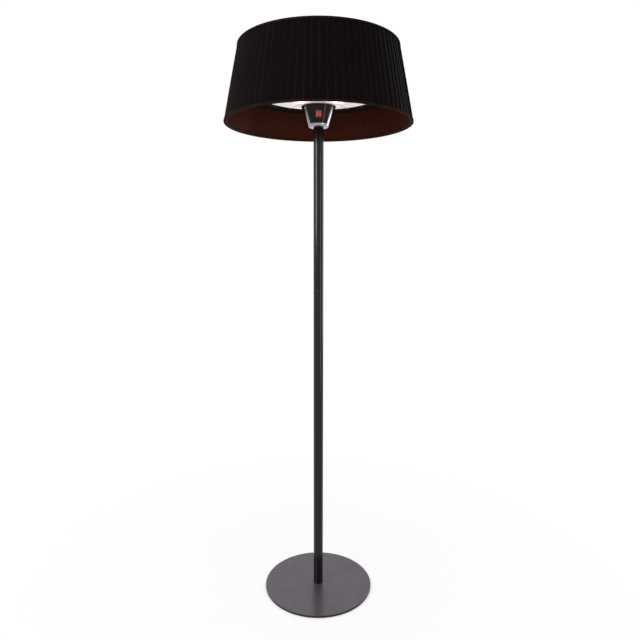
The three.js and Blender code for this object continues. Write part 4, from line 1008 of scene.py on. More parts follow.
def gasket_and_lid():
    """A rubber ring between cup and lid, and the lid with a rolled rim."""
    bottom, top, radius = low("lid_gasket").z, high("lid_gasket").z, high("lid_gasket").x
    inner = radius - 5 * MM
    corners = [(inner, bottom), (radius, bottom), (radius, top), (inner, top)]
    cast("rim_gasket", [lathe(rounded(corners, 0.6 * MM), 160)], black_rubber, ("lid_gasket",))
    bottom, top, radius = low("cup_lid").z, high("cup_lid").z, high("cup_lid").x
    inner, floor = radius - 9 * MM, top - 3 * MM
    corners = [
        (ROD_HOLE, floor), (inner, floor), (inner, bottom), (radius, bottom), (radius, top), (ROD_HOLE, top),
    ]
    lid = lathe(rounded(corners, [0.1 * MM, 0.3 * MM, 0.4 * MM, 0.8 * MM, 2.2 * MM, 0.1 * MM], 7), 192)
    piece = cast("bright_lid", [lid], satin_chrome, ("cup_lid",))
    wire_hole = lathe(column(6 * MM, bottom - 1 * MM, top + 1 * MM), 32)
    cut_away(piece, *([placed(wire_hole, Matrix.Translation((x, 0, 0)))] for x in (-22 * MM, 22 * MM)))


def switch_frame():
    """The rocker switch's frame: a bezel with rounded corners and a box behind it, with a well for each
    key."""
    back = bezel_seat() + 0.3 * MM
    front = back + 2.4 * MM
    bezel = bezel_slab(BEZEL_SIZE, 1.8 * MM, back, front, 0.7 * MM, 5)
    body = bezel_slab(SWITCH_BODY_SIZE, 0.8 * MM, -17 * MM, back + 0.6 * MM, 0.3 * MM)
    piece = cast("switch_frame", [bezel, body], black_plastic, ("switch_body",))
    well = slab(oblong(8.8 * MM, 20.6 * MM, 0.3 * MM), back - 7.1 * MM, front + 1 * MM, 0.05 * MM)
    for _, side in SIDES:
        place = on_cup(FRONT, SWITCH_HEIGHT) @ Matrix.Translation((side * KEY_SPACING, 0, 0))
        cut_away(piece, [placed(well, place)], crossing=True)


def key_outline():
    """The section of a key: curved ends about the pin, and a face that dips in the middle as a parabola."""
    reach, rise, dip, depth = 10 * MM, 5 * MM, 2.6 * MM, 5.5 * MM
    end = math.sqrt(reach**2 - rise**2)
    turn = np.linspace(math.asin(-0.275), math.asin(rise / reach), 9)
    right = np.stack([reach * np.cos(turn), reach * np.sin(turn)], axis=1)
    across = np.linspace(end, -end, 19)[1:-1]
    face = np.stack([across, dip + (rise - dip) * (across / end) ** 2], axis=1)
    left = (right * (-1, 1))[::-1]
    belly = np.array([(-reach / 3, -depth), (reach / 3, -depth)])
    return np.concatenate([right, face, left, belly])


def rocker_keys():
    """Two lit keys: the section carried along the pin, with rounded sides."""
    width = 8.2 * MM
    key = slab(key_outline(), -width / 2, width / 2, 0.6 * MM, 5)
    stand_up = Matrix(((0, 0, 1, 0), (1, 0, 0, 0), (0, 1, 0, 0), (0, 0, 0, 1)))
    facing = on_cup(FRONT, SWITCH_HEIGHT).to_3x3().to_4x4()
    for name, side in SIDES:
        pivot = Vector((side * KEY_SPACING, KEY_PIVOT.y, KEY_PIVOT.z))
        place = Matrix.Translation(pivot) @ facing @ Matrix.Rotation(-KEY_TILT, 4, "X") @ stand_up
        cast(f"lit_key_{name}", [placed(key, place)], lit_key, (f"rocker_key_{name}",),
             f"{name}_key", 50)


# ---------------------------------------------------------------- heater head


def stem():
    """A slim spun cone between the lid and the dish."""
    bottom, top, radius = low("heater_stem").z, high("heater_stem").z, high("heater_stem").x
    wall, taper = 1.5 * MM, 4 * MM
    corners = [
        (radius - wall, bottom), (radius, bottom), (radius - taper, top), (radius - taper - wall, top),
    ]
    cast("spun_stem", [lathe(rounded(corners, 0.4 * MM), 160)], stem_metal, ("heater_stem",))


def dish_curve(wall):
    """A quarter ellipse from the dish's flat middle out to its rim, moved out by a wall. Three pressed rings,
    bell curves over the distance from the axis, are added to its height."""
    turn = np.linspace(0, np.pi / 2, 40)
    inner = DISH_FLAT + (DISH_RADIUS - DISH_FLAT) * np.sin(turn)
    ring, spread = 0.9 * MM, 3 * MM
    rings = sum(ring * np.exp(-(((inner - at) / spread) ** 2)) for at in (92 * MM, 131 * MM, 182 * MM))
    radius = DISH_FLAT + (DISH_RADIUS + wall - DISH_FLAT) * np.sin(turn)
    return np.stack([radius, MOUTH + (DISH_DEPTH + wall) * np.cos(turn) + rings], axis=1)


def dish():
    """The polished dish: a quarter ellipse in section, with three pressed rings, a flat rim, and holes for
    the lamps' stems."""
    hole, rim = 41 * MM, high("reflector").x
    under, over = dish_curve(0), dish_curve(DISH_WALL)[:-1]
    outline = np.concatenate([
        [(hole, MOUTH + DISH_DEPTH)], under, [(rim, MOUTH), (rim, MOUTH + DISH_WALL)],
        [(DISH_RADIUS + DISH_WALL, MOUTH + DISH_WALL)], over[::-1], [(hole, MOUTH + DISH_DEPTH + DISH_WALL)],
    ])
    piece = cast("polished_dish", [lathe(outline, 256)], dish_polish, ("reflector",))
    stem_hole = lathe(column(4.3 * MM, LAMP_HEIGHT, MOUTH + 50 * MM), 24)
    for name in LAMP_RADII:
        for number in (1, 2):
            middle = stem_of_cap(f"{name}_lamp_cap_{number}")
            cut_away(piece, [placed(stem_hole, Matrix.Translation((*middle, 0)))])


def stem_of_cap(node):
    """Where a cap's upright stem stands: the middle of the cap's highest points."""
    points = np.array([vertex.co for vertex in frame["nodes"][node].data.vertices])
    top = points[points[:, 2] > points[:, 2].max() - 0.01 * MM]
    return (top[:, :2].min(axis=0) + top[:, :2].max(axis=0)) / 2


def carrier():
    """The flat black ring round the dish, with its turned-up lip."""
    bottom, top, rim = low("carrier_ring").z, high("carrier_ring").z, high("carrier_ring").x
    wall = 1.5 * MM
    lip, floor = rim - wall, bottom + wall
    corners = [
        (DISH_RADIUS, bottom), (rim, bottom), (rim, top), (lip, top), (lip, floor), (DISH_RADIUS, floor),
    ]
    outline = rounded(corners, [0.3 * MM, 2 * MM, 0.4 * MM, 0.4 * MM, 0.6 * MM, 0.3 * MM])
    cast("carrier_plate", [lathe(outline, 256)], casing_paint, ("carrier_ring",))


def casing_outline(bottom, top, wall):
    """The casing's outer line: from its flange up its side, over a round shoulder and in over its roof."""
    rim = high("casing").x
    foot, shoulder = rim - 22 * MM, 30 * MM
    centre = foot - 12 * MM + wall - shoulder
    turn = np.linspace(0, np.pi / 2, 10)
    crown = np.stack([centre + shoulder * np.cos(turn), top - shoulder + shoulder * np.sin(turn)], axis=1)
    flange = np.linspace((rim, bottom + wall), (foot + 2 * MM, bottom + wall), 4)
    side = np.linspace((foot + wall, bottom + 3 * MM), crown[0], 8)
    roof = np.linspace((crown[-1, 0], top), (6 * MM, top), 60)[1:]
    return np.concatenate([flange, side, crown[1:], roof])


def casing():
    """The domed black cover over the dish. Its shell is one surface with rows of vent slots left out, and
    then given its wall. Twelve pressed grooves, bell curves in the angle, run out over its roof between the
    slots."""
    bottom, top, wall = low("casing").z, high("casing").z, 1.2 * MM
    outline = casing_outline(bottom, top, wall)
    segments, sectors = 288, 12
    angle = np.arange(segments) / segments * TURN
    share = (angle * sectors / TURN) % 1
    radius, height = (np.repeat(values[:, None], segments, axis=1) for values in outline.T)
    groove = np.exp(-((((angle * sectors / TURN + 0.5) % 1 - 0.5) / 0.09) ** 2))
    reach = np.clip((radius - 40 * MM) / (25 * MM), 0, 1) * np.clip((198 * MM - radius) / (15 * MM), 0, 1)
    height = height - 1.6 * MM * groove * reach * (height > top - 1 * MM)
    points = np.stack([radius * np.cos(angle), radius * np.sin(angle), height], axis=-1)
    middles = (outline[1:] + outline[:-1]) / 2
    slot_rows = (middles[:, 0] > 120 * MM) & (middles[:, 0] < 170 * MM) & (middles[:, 1] > top - 1 * MM)
    slot_columns = (share > 0.28) & (share < 0.72) & (np.arange(segments) % 4 == 1)
    shell = Grid(points, wrap_columns=True, gone=slot_rows[:, None] & slot_columns[None, :])
    mesh = mesh_of("vented_casing", [shell])
    face_up(mesh)
    piece = show("vented_casing", mesh, casing_paint, ("casing",))
    solidify = piece.modifiers.new("wall", "SOLIDIFY")
    solidify.thickness = wall
    solidify.offset = -1.0
    apply_modifiers(piece)
    tidy(piece.data)
    smooth(piece.data)


def face_up(mesh):
    """Turns an open shell over where its highest face looks down."""
    if max(mesh.polygons, key=lambda face: face.center.z).normal.z < 0:
        mesh.flip_normals()


def casing_screws():
    """Domed screws in the casing's flange, with a slot."""
    shank, radius = 2 * MM, 4 * MM
    for number in range(1, CASING_SCREWS + 1):
        node = f"casing_screw_{number}"
        bottom, head = low(node).z, high(node).z - 2.4 * MM
        foot = [(0, bottom), (1.7 * MM, bottom), (shank, bottom + 0.4 * MM), (shank, head), (radius, head)]
        outline = np.concatenate([foot, dome(radius, head + 0.6 * MM, 1.8 * MM, 7)])
        place = above_floor(node)
        solid = placed(lathe(outline, 32), place)
        screw = cast(f"flange_screw_{number}", [solid], zinc_plate, (node,))
        slot = slab(oblong(4.6 * MM, 0.9 * MM, 0.1 * MM, 3), head + 1.7 * MM, head + 4 * MM, 0.05 * MM, 2)
        cut_away(screw, [placed(slot, place @ turn_z(number * 0.7))])


# ---------------------------------------------------------------- lamps and guard


def lamp_ends(radius):
    """Angles at which a lamp's tube starts and ends, either side of the back."""
    half = LAMP_END_SPAN / radius
    return np.pi / 2 + half, np.pi / 2 + TURN - half


def lamp_arc(radius, inside, steps):
    """Points and outward directions of a lamp's middle line, which stops short of its ends by a length."""
    start, end = lamp_ends(radius)
    angle = np.linspace(start + inside / radius, end - inside / radius, steps)
    outward = np.stack([np.cos(angle), np.sin(angle), np.zeros(steps)], axis=1)
    return outward * radius + (0, 0, LAMP_HEIGHT), outward


def lamp_tubes():
    """Open quartz tubes: the outer wall goes out along the arc, and the inner wall comes back."""
    for name, radius in LAMP_RADII.items():
        path, _ = lamp_arc(radius, 0, 161)
        outer, inner = (tube(path, size, UP, 24).points[0, 1:-1] for size in (6 * MM, 4.8 * MM))
        wall = Grid(np.concatenate([outer, inner[::-1]]), wrap_rows=True, wrap_columns=True)
        cast(f"{name}_quartz_ring", [wall], lamp_quartz, (f"{name}_lamp_tube",))


def lamp_coils():
    """Coiled filaments: a helix about the lamp's middle line, its radius along the outward direction turned
    through the helix angle."""
    inside, pitch, coil, wire = 6.3 * MM, 3.4 * MM, 1.3 * MM, 0.4 * MM
    for name, radius in LAMP_RADII.items():
        length = radius * np.subtract(*lamp_ends(radius)[::-1]) - 2 * inside
        turns = int(length / pitch)
        path, outward = lamp_arc(radius, inside, turns * 10 + 1)
        phase = np.linspace(0, turns * TURN, len(path))[:, None]
        spoke = np.cos(phase) * outward + np.sin(phase) * np.array(UP, dtype=float)
        helix = tube(path + coil * spoke, wire, spoke, 4)
        cast(f"{name}_glowing_coil", [helix], glowing_coil, (f"{name}_lamp_filament",), sharp=80)


def lamp_fittings():
    """Ceramic end caps and sprung clips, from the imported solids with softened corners."""
    for name in LAMP_RADII:
        for number in (1, 2):
            softened(f"{name}_lamp_cap_{number}", white_ceramic, 0.5 * MM)
            softened(f"{name}_lamp_clip_{number}", wire_plate, 0.15 * MM)


def bead(radius, height, corner, sides):
    """A small faceted ball of weld, as wide and tall as its radius and height, with a corner between them."""
    return lathe([(0, -height), (corner, -corner), (radius, 0), (corner, corner), (0, height)], sides)


def wire_guard():
    """Rings and spokes of bright wire, with a small weld bead where they cross."""
    node = "wire_guard"
    height = (low(node).z + high(node).z) / 2
    wire, spokes = 1.2 * MM, 12
    inner, outer = 47.65 * MM, high(node).x - wire
    radii = np.linspace(inner, outer, 3)
    rings = [hoop(radius, height, wire, 10) for radius in radii]
    spoke = tube(np.linspace((inner, 0, height), (outer, 0, height), 12), wire, UP, 10)
    turns = [turn_z(number * TURN / spokes) for number in range(spokes)]
    spots = [turn @ Matrix.Translation((radius, 0, height)) for turn in turns for radius in radii]
    weld = bead(1.9 * MM, 1.7 * MM, 1.2 * MM, 10)
    grids = [*rings, repeated(spoke, turns), repeated(weld, spots)]
    cast("bright_guard", grids, guard_plate, (node,), sharp=60)


# ---------------------------------------------------------------- shade


def shade_radius(height, depth=0.0):
    """Radius of the shade's straight cone at a height, less a depth into its wall."""
    share = (height - SHADE_BOTTOM) / (SHADE_TOP - SHADE_BOTTOM)
    return SHADE_BOTTOM_RADIUS + (SHADE_TOP_RADIUS - SHADE_BOTTOM_RADIUS) * share - depth


def pleat_walk():
    """One knife pleat: how far each point lies along its pitch, how high it stands, and how far it moves with
    the pleat's tuck. A slow rise, a rounded crest, and a quick way back that a tuck opens or folds under."""
    along = np.array([0, 0.16, 0.34, 0.54, 0.74, 0.9, 0.97, 1.0, 1.005, 1.0, 0.99])
    rise = np.array([0, 0.14, 0.33, 0.56, 0.8, 0.96, 1.0, 0.95, 0.78, 0.48, 0.2])
    tuck = np.array([0, 0, 0, 0.05, 0.3, 0.8, 1.0, 1.1, 1.1, 0.9, 0.5])
    return along, rise, tuck


def pleat_run(depth):
    """How far along the cloth each point of the walk lies, and one more for the next pleat's start."""
    along, rise, _ = pleat_walk()
    across = np.append(along, 1.0) * SHADE_GIRTH / PLEATS
    steps = np.hypot(np.diff(across), np.diff(np.append(rise, 0.0)) * depth)
    return np.concatenate([[0], np.cumsum(steps)])


def pleated_cloth():
    """Cloth in knife pleats on a cone. The angle runs along the pleat's walk, with a slow drift so that no
    two pleats are alike. The depth of a fold grows towards the middle of the height, where it is held least,
    and each pleat has its own depth, lean, bow and tuck. The inner face is the same surface, one ply further
    in."""
    pleat_depth, ply, rows = settings("heater_shade").pleat_depth, 0.5 * MM, 33
    bottom, top = low("shade_fabric").z, high("shade_fabric").z
    along, rise, tuck = pleat_walk()
    pleat = np.repeat(np.arange(PLEATS), len(along))
    rise, tuck = np.tile(rise, PLEATS), np.tile(tuck, PLEATS)
    chance = np.random.default_rng(7)
    own = chance.uniform(0.8, 1.0, PLEATS)[pleat]
    lean, bow = (chance.normal(0, 0.05, PLEATS)[pleat] * tuck for _ in range(2))
    place = pleat + np.tile(along, PLEATS) + chance.uniform(-0.13, 0.04, PLEATS)[pleat] * tuck
    share = np.linspace(0, 1, rows)[:, None]
    height = bottom + (top - bottom) * share
    round_shade = place / PLEATS * TURN
    drift = 0.10 * np.sin(3 * round_shade + 1) + 0.07 * np.sin(7 * round_shade + 2)
    wave = lean * (share - 0.5) + bow * np.sin(np.pi * share)
    angle = -(place + drift + wave) / PLEATS * TURN
    held = 0.85 + 0.15 * np.sin(np.pi * np.clip(share, 0.02, 0.98)) ** 0.6
    depth = pleat_depth * (1 - rise * own * held)
    outer = shade_radius(height, 0.5 * MM) - depth
    tall = np.broadcast_to(height, (rows, len(pleat)))
    cosine, sine = np.cos(angle), np.sin(angle)
    faces = [np.stack([radius * cosine, radius * sine, tall], axis=-1) for radius in (outer, outer - ply)]
    run = pleat_run(pleat_depth)
    across = np.append((np.arange(PLEATS)[:, None] * run[-1] + run[:-1]).ravel(), PLEATS * run[-1])
    cloth = Grid(np.concatenate([faces[0], faces[1][::-1]]), wrap_rows=True, wrap_columns=True, across=across)
    piece = cast("pleated_cloth", [cloth], pleat_cloth, ("shade_fabric",), sharp=60)


def lining():
    """A smooth cone of film inside the cloth. At each pleat's seam a cosine's eighth power draws it in a
    little."""
    bottom, top = low("shade_lining").z, high("shade_lining").z
    front, back, rows = 4.65 * MM, 5.45 * MM, 9
    angle = np.arange(PLEATS * 6) / (PLEATS * 6) * TURN
    height = np.linspace(bottom, top, rows)[:, None]
    seam = 0.25 * MM * np.cos(PLEATS * angle) ** 8
    tall = np.broadcast_to(height, (rows, len(angle)))
    faces = []
    for depth, drawn_in in ((front, 0), (back, seam)):
        radius = shade_radius(height, depth) - drawn_in
        faces.append(np.stack([radius * np.cos(angle), radius * np.sin(angle), tall], axis=-1))
    across = np.linspace(0, SHADE_GIRTH, len(angle) + 1)
    sheet = Grid(np.concatenate([faces[0], faces[1][::-1]]), wrap_rows=True, wrap_columns=True, across=across)
    piece = cast("shade_lining_film", [sheet], lining_film, ("shade_lining",))


def trims():
    """Folded tape over the cloth's edges, sewn with a row of short stitches."""
    tape, tall, depth = 0.8 * MM, 7 * MM, 5.6 * MM
    for name, edge, inward in (("bottom", SHADE_BOTTOM, 1), ("top", SHADE_TOP, -1)):
        fold, far = edge + inward * tape, edge + inward * tall
        corners = [
            (shade_radius(edge), edge), (shade_radius(far), far), (shade_radius(far, tape), far),
            (shade_radius(fold, tape), fold), (shade_radius(fold, depth), fold),
            (shade_radius(edge, depth), edge),
        ]
        outline = rounded(corners, [0.7 * MM, 0.35 * MM, 0.2 * MM, 0.2 * MM, 0.3 * MM, 0.3 * MM])
        grid = lathe(outline, PLEATS * 4, drawn_between)
        cast(f"{name}_tape", [grid], trim_tape, (f"shade_{name}_trim",))
        stitches = stitch_row(edge + inward * 5 * MM)
        cast(f"{name}_stitches", [stitches], stitch_thread, sharp=80)


def drawn_between(radius, height, angle):
    """The sewn tape is drawn in slightly once for each pleat, as a cosine in the angle."""
    return radius - 0.12 * MM * (0.5 + 0.5 * np.cos(PLEATS * angle)), height


def stitch_row(height):
    """Short upright stitches all round the shade at a height: each a wire that bulges as half an ellipse."""
    reach = shade_radius(height)
    count = int(TURN * reach / (4.2 * MM))
    span = np.linspace(-1.3 * MM, 1.3 * MM, 5)
    bulge = 0.22 * MM * np.sqrt(1 - (span / (1.45 * MM)) ** 2)
    path = np.stack([reach - 0.1 * MM + bulge, span, np.full(5, height)], axis=1)
    stitch = tube(path, [0.1 * MM, 0.2 * MM, 0.22 * MM, 0.2 * MM, 0.1 * MM], UP, 5)
    return repeated(stitch, [turn_z(number * TURN / count) for number in range(count)])


def wire_rings():
    """The round wires that hold the shade open, wrapped in tape."""
    for name, height in (("bottom", SHADE_BOTTOM + RING_INSET), ("top", SHADE_TOP - RING_INSET)):
        node = f"shade_{name}_ring"
        ring = hoop(high(node).x - RING_WIRE, height, RING_WIRE, 12)
        cast(f"{name}_wire_ring", [ring], ring_wrap, (node,))


def spider():
    """Four bent arms from the hub up to the top ring. Each rises as an S, by three squares less two cubes of
    its share of the way, so that it leaves the hub and meets the ring level."""
    node = "shade_spider"
    bottom, hub_top = low(node).z, low(node).z + 4 * MM
    hub_radius, wire, arms = 24 * MM, 3 * MM, 4
    corners = [(ROD_HOLE, bottom), (hub_radius, bottom), (hub_radius, hub_top), (ROD_HOLE, hub_top)]
    hub = lathe(rounded(corners, 0.8 * MM), 96)
    start = np.array([hub_radius - 6 * MM, bottom + wire])
    end = np.array([high("shade_top_ring").x - 6.2 * MM, SHADE_TOP - RING_INSET])
    share = np.linspace(0, 1, 48)
    ease = np.clip((share - 0.08) / 0.84, 0, 1)
    span = start[0] + (end[0] - start[0]) * share
    rise = start[1] + (end[1] - start[1]) * ease**2 * (3 - 2 * ease)
    arm = tube(np.stack([span, span * 0, rise], axis=1), wire, (0, 1, 0), 14)
    turns = [turn_z((number + 0.5) * TURN / arms) for number in range(arms)]
    spots = [turn @ Matrix.Translation((end[0], 0, end[1])) for turn in turns]
    weld = bead(4 * MM, 4 * MM, 2.8 * MM, 16)
    grids = [hub, repeated(arm, turns), repeated(weld, spots)]
    cast("spider_frame", grids, casing_paint, (node,), sharp=50)


def knob():
    """The clamping knob: a waisted nut with eighteen finger grooves."""
    bottom, top = low("spider_knob").z, high("spider_knob").z
    tall, radius, thread = top - bottom, 14 * MM, 12 * MM
    corners = [
        (0, bottom + thread), (ROD_HOLE, bottom + thread), (ROD_HOLE, bottom), (radius * 0.75, bottom),
        (radius * 0.75, bottom + 0.2 * tall), (radius, bottom + 0.35 * tall), (radius, top - 0.15 * tall),
        (radius * 0.8, top), (0, top),
    ]
    outline = rounded(corners, [0, 0.2 * MM, 0.3 * MM, 0.5 * MM, 1 * MM, 1 * MM, 1.5 * MM, 1.5 * MM, 0])

    def grooves(r, height, angle):
        """Eighteen grooves in the widest part, as a squared cosine in the angle."""
        grip = np.clip((r - radius * 0.8) / (radius * 0.2), 0, 1)
        return r - 0.9 * MM * grip * (0.5 + 0.5 * np.cos(18 * angle)) ** 2, height

    cast("clamp_knob", [lathe(outline, 216, grooves)], black_plastic, ("spider_knob",))


# ---------------------------------------------------------------- stage


SIDE_LIGHTS = (  # name, place, width and height, and share of the main light's power
    ("right strip", (2.3, -2.0, 1.15), (0.35, 2.2), 0.24),
    ("rear strip", (2.6, 1.4, 1.5), (0.6, 2.0), 0.3),
)


def soft_light(name, place, target, size, power):
    """A soft light, wide and tall by its size, that looks at a point."""
    lamp = bpy.data.lights.new(name, "AREA")
    lamp.shape, (lamp.size, lamp.size_y), lamp.energy = "RECTANGLE", size, power
    holder = bpy.data.objects.new(name, lamp)
    holder.location = place
    holder.rotation_euler = (Vector(target) - Vector(place)).to_track_quat("-Z", "Y").to_euler()
    bpy.context.scene.collection.objects.link(holder)


def pale_floor():
    """A wide floor that curves up into a wall behind, along a quarter circle. Where the camera, a mirror or
    glass looks at it, part of what it shows is plain white, and the rest keeps the object's shadow."""
    across = np.linspace(-9, 9, 7)
    turn = np.linspace(0, np.pi / 2, 16)
    bend = np.stack([5 + 2 * np.sin(turn), 2 - 2 * np.cos(turn)], axis=1)
    profile = np.concatenate([[(-9, 0), (-3, 0)], bend, [(7, 8)]])
    points = np.stack(np.broadcast_arrays(across[None, :], profile[:, :1], profile[:, 1:]), axis=-1)
    mesh = mesh_of("pale_floor", [Grid(points)])
    floor = bpy.data.objects.new("pale_floor", mesh)
    bpy.context.scene.collection.objects.link(floor)
    material = bpy.data.materials.new("pale floor")
    material.use_nodes = True
    tree = Tree(material.node_tree)
    shade = settings("heater_stage").floor
    shader = material.node_tree.nodes["Principled BSDF"]
    shader.inputs["Base Color"].default_value = (*shade, 1)
    shader.inputs["Roughness"].default_value = 0.9
    white = tree.add("ShaderNodeEmission", {"Color": (1, 1, 1, 1), "Strength": 1.0})
    place = tree.add("ShaderNodeTexCoord").outputs["Object"]
    away = tree.add("ShaderNodeVectorMath", {0: place}, operation="LENGTH").outputs["Value"]
    beside = tree.spread(away, BASE_RADIUS - 15 * MM, BASE_RADIUS + 10 * MM, 0.0, 1.0)
    outwards = tree.spread(away, BASE_RADIUS, 7 * BASE_RADIUS, settings("heater_stage").whiteness, 1.0)
    white_part = tree.maths("MULTIPLY", beside, outwards)
    share = tree.maths("MULTIPLY", seen(tree), white_part)
    mixed = tree.add("ShaderNodeMixShader", {0: share, 1: shader.outputs[0], 2: white.outputs[0]})
    tree.set(material.node_tree.nodes["Material Output"].inputs["Surface"], mixed.outputs[0])
    mesh.materials.append(material)


def seen(tree):
    """1 on rays from the camera, a mirror or glass, and 0 on the rays that light the object."""
    path = tree.add("ShaderNodeLightPath").outputs
    either = tree.maths("MAXIMUM", path["Is Camera Ray"], path["Is Glossy Ray"])
    return tree.maths("MAXIMUM", either, path["Is Transmission Ray"])


def pale_world():
    """White where it is seen, and dimmer where it lights."""
    world = bpy.data.worlds.new("pale studio")
    bpy.context.scene.world = world
    world.use_nodes = True
    tree = Tree(world.node_tree)
    strength = tree.spread(seen(tree), 0.0, 1.0, settings("heater_stage").fill, 1.0)
    background = world.node_tree.nodes["Background"]
    tree.set(background.inputs["Color"], (1, 1, 1, 1))
    tree.set(background.inputs["Strength"], strength)


def photo_camera():
    """Stands 2.1 m in front at 1.4 m, looks 8 degrees down, and is held a little off level."""
    place, pitch, roll = (0.006, -2.101, 1.396), math.radians(90 - 8.01), 0.0012
    camera = bpy.data.cameras.new("camera")
    camera.lens, camera.sensor_width = 30.93, 36
    camera.clip_start, camera.clip_end = 0.05, 60
    holder = bpy.data.objects.new("camera", camera)
    turn = Matrix.Rotation(pitch, 4, "X") @ Matrix.Rotation(roll, 4, "Z")
    holder.matrix_world = Matrix.Translation(place) @ turn
    bpy.context.scene.collection.objects.link(holder)
    bpy.context.scene.camera = holder


# ---------------------------------------------------------------- settings


class ShadeSettings(bpy.types.PropertyGroup):
    """What a user would change on the shade."""

    pleat_depth: FloatProperty(name="Pleat depth", description="How far a fold stands out of the cloth",
                               default=3.1 * MM, min=0, max=3.2 * MM, unit="LENGTH")
    cloth: FloatVectorProperty(name="Cloth", description="Colour of the pleated cloth", subtype="COLOR",
                               default=(0.0060, 0.0040, 0.0035), min=0, max=1)
    lining: FloatVectorProperty(name="Lining", description="Colour of the film inside the shade",
                                subtype="COLOR", default=(0.046, 0.0115, 0.0055), min=0, max=1)


class PaintSettings(bpy.types.PropertyGroup):
    """Colours of the painted steel."""

    base: FloatVectorProperty(name="Base", description="Colour of the base plate", subtype="COLOR",
                              default=(0.104, 0.089, 0.106), min=0, max=1)
    pole: FloatVectorProperty(name="Pole", description="Colour of the pole", subtype="COLOR",
                              default=(0.0066, 0.0052, 0.0054), min=0, max=1)


class LampSettings(bpy.types.PropertyGroup):
    """How the ring lamps glow."""

    colour: FloatVectorProperty(name="Glow", description="Colour of the lamps' light", subtype="COLOR",
                                default=(1.0, 0.75, 0.53), min=0, max=1)
    tube_strength: FloatProperty(name="Tube glow", description="Strength of the glow in the quartz",
                                 default=0.9, min=0, max=20)
    coil_strength: FloatProperty(name="Coil glow", description="Strength of the glow of the coil",
                                 default=7.0, min=0, max=100)


class StageSettings(bpy.types.PropertyGroup):
    """Floor and light."""

    floor: FloatVectorProperty(name="Floor", description="Colour of the floor and wall", subtype="COLOR",
                               default=(0.82, 0.82, 0.82), min=0, max=1)
    whiteness: FloatProperty(name="Whiteness", description="How much of the floor's look is plain white",
                             default=0.86, min=0, max=1, subtype="FACTOR")
    fill: FloatProperty(name="Fill", description="Strength of the light from all sides", default=0.6, min=0,
                        max=3)
    key: FloatProperty(name="Key", description="Power of the main soft light", default=80.0, min=0, max=1000,
                       unit="POWER")
    lights: IntProperty(name="Side lights", description="Number of softer lights beside the main one",
                        default=2, min=0, max=2)


# ---------------------------------------------------------------- operators


class HEATER_OT_base(bpy.types.Operator):
    """Makes the base plate, its feet and its screw"""

    bl_idname, bl_label = "heater.base", "Base"

    def execute(self, context):
        base_plate()
        foot_pads()
        softened("base_screw", zinc_plate, 0.3 * MM)
        return {"FINISHED"}


class HEATER_OT_pole(bpy.types.Operator):
    """Makes the pole's tubes and the cable gland, and finishes what is inside them"""

    bl_idname, bl_label = "heater.pole", "Pole"

    def execute(self, context):
        pole_tubes()
        gland()
        refinish(zinc_plate, "pole_plug", "lower_pole_coupler", "upper_pole_coupler", "pole_spigot")
        refinish(cable_sheath, "internal_lead")
        return {"FINISHED"}


class HEATER_OT_cup(bpy.types.Operator):
    """Makes the control cup with its panel, screws, gasket and lid, and finishes what is inside it"""

    bl_idname, bl_label = "heater.cup", "Control cup"

    def execute(self, context):
        cup_and_panel()
        panel_screws()
        gasket_and_lid()
        refinish(zinc_plate, "centre_rod")
        softened("terminal_block", white_ceramic)
        softened("tilt_switch", black_plastic, 0.8 * MM)
        return {"FINISHED"}


class HEATER_OT_switch(bpy.types.Operator):
    """Makes the rocker switch's frame and its two lit keys"""

    bl_idname, bl_label = "heater.switch", "Rocker switch"

    def execute(self, context):
        switch_frame()
        rocker_keys()
        refinish(zinc_plate, "rocker_pin")
        return {"FINISHED"}


class HEATER_OT_head(bpy.types.Operator):
    """Makes the stem, the dish, its carrier and its casing"""

    bl_idname, bl_label = "heater.head", "Heater head"

    def execute(self, context):
        stem()
        dish()
        carrier()
        casing()
        casing_screws()
        softened("thermal_cutout", white_ceramic)
        return {"FINISHED"}


class HEATER_OT_lamps(bpy.types.Operator):
    """Makes the ring lamps with their coils, caps and clips"""

    bl_idname, bl_label = "heater.lamps", "Ring lamps"

    def execute(self, context):
        lamp_tubes()
        lamp_coils()
        lamp_fittings()
        return {"FINISHED"}


class HEATER_OT_guard(bpy.types.Operator):
    """Makes the wire guard under the lamps"""

    bl_idname, bl_label = "heater.guard", "Wire guard"

    def execute(self, context):
        wire_guard()
        return {"FINISHED"}


class HEATER_OT_shade(bpy.types.Operator):
    """Makes the pleated shade with its lining, tapes and wire rings"""

    bl_idname, bl_label = "heater.shade", "Shade"

    def execute(self, context):
        pleated_cloth()
        lining()
        trims()
        wire_rings()
        return {"FINISHED"}


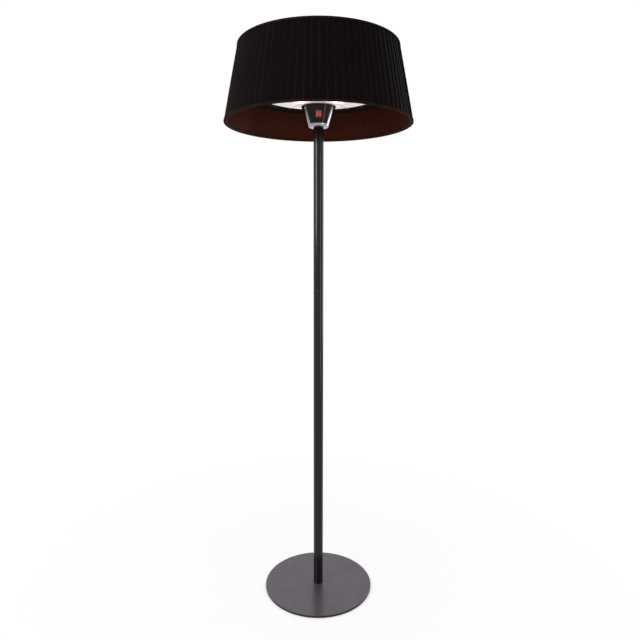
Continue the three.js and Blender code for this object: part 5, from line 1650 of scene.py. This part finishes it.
class HEATER_OT_spider(bpy.types.Operator):
    """Makes the spider that carries the shade, and its knob"""

    bl_idname, bl_label = "heater.spider", "Spider and knob"

    def execute(self, context):
        spider()
        knob()
        return {"FINISHED"}


class HEATER_OT_stage(bpy.types.Operator):
    """Makes the floor, the light and the camera"""

    bl_idname, bl_label = "heater.stage", "Stage"

    def execute(self, context):
        stage = settings("heater_stage")
        context.scene.view_settings.view_transform = "Standard"
        pale_floor()
        pale_world()
        soft_light("key light", (-2.6, -2.0, 2.2), (0, 0, 1.3), (1.6, 1.6), stage.key)
        for name, place, size, share in SIDE_LIGHTS[: stage.lights]:
            soft_light(name, place, (0, 0, place[2]), size, stage.key * share)
        photo_camera()
        return {"FINISHED"}


STEPS = (
    HEATER_OT_stage, HEATER_OT_base, HEATER_OT_pole, HEATER_OT_cup, HEATER_OT_switch, HEATER_OT_head,
    HEATER_OT_lamps, HEATER_OT_guard, HEATER_OT_shade, HEATER_OT_spider,
)


class HEATER_PT_panel(bpy.types.Panel):
    """Lists the settings and the steps"""

    bl_idname, bl_label = "HEATER_PT_panel", "Patio heater"
    bl_space_type, bl_region_type, bl_category = "VIEW_3D", "UI", "Heater"

    def draw(self, context):
        for name, group in SETTINGS.items():
            box = self.layout.box()
            for key in group.__annotations__:
                box.prop(getattr(context.scene, name), key)
        for step in STEPS:
            self.layout.operator(step.bl_idname)


SETTINGS = {
    "heater_shade": ShadeSettings,
    "heater_paint": PaintSettings,
    "heater_lamps": LampSettings,
    "heater_stage": StageSettings,
}


def register():
    """Adds the settings, the operators and the panel."""
    for cls in (*SETTINGS.values(), *STEPS, HEATER_PT_panel):
        bpy.utils.register_class(cls)
    for name, group in SETTINGS.items():
        setattr(bpy.types.Scene, name, PointerProperty(type=group))


def unregister():
    """Takes out what register adds, in the opposite order."""
    for name in SETTINGS:
        delattr(bpy.types.Scene, name)
    for cls in reversed((*SETTINGS.values(), *STEPS, HEATER_PT_panel)):
        bpy.utils.unregister_class(cls)


def main():
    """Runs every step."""
    register()
    for step in STEPS:
        family, name = step.bl_idname.split(".")
        getattr(getattr(bpy.ops, family), name)()


if __name__ == "__main__":
    main()
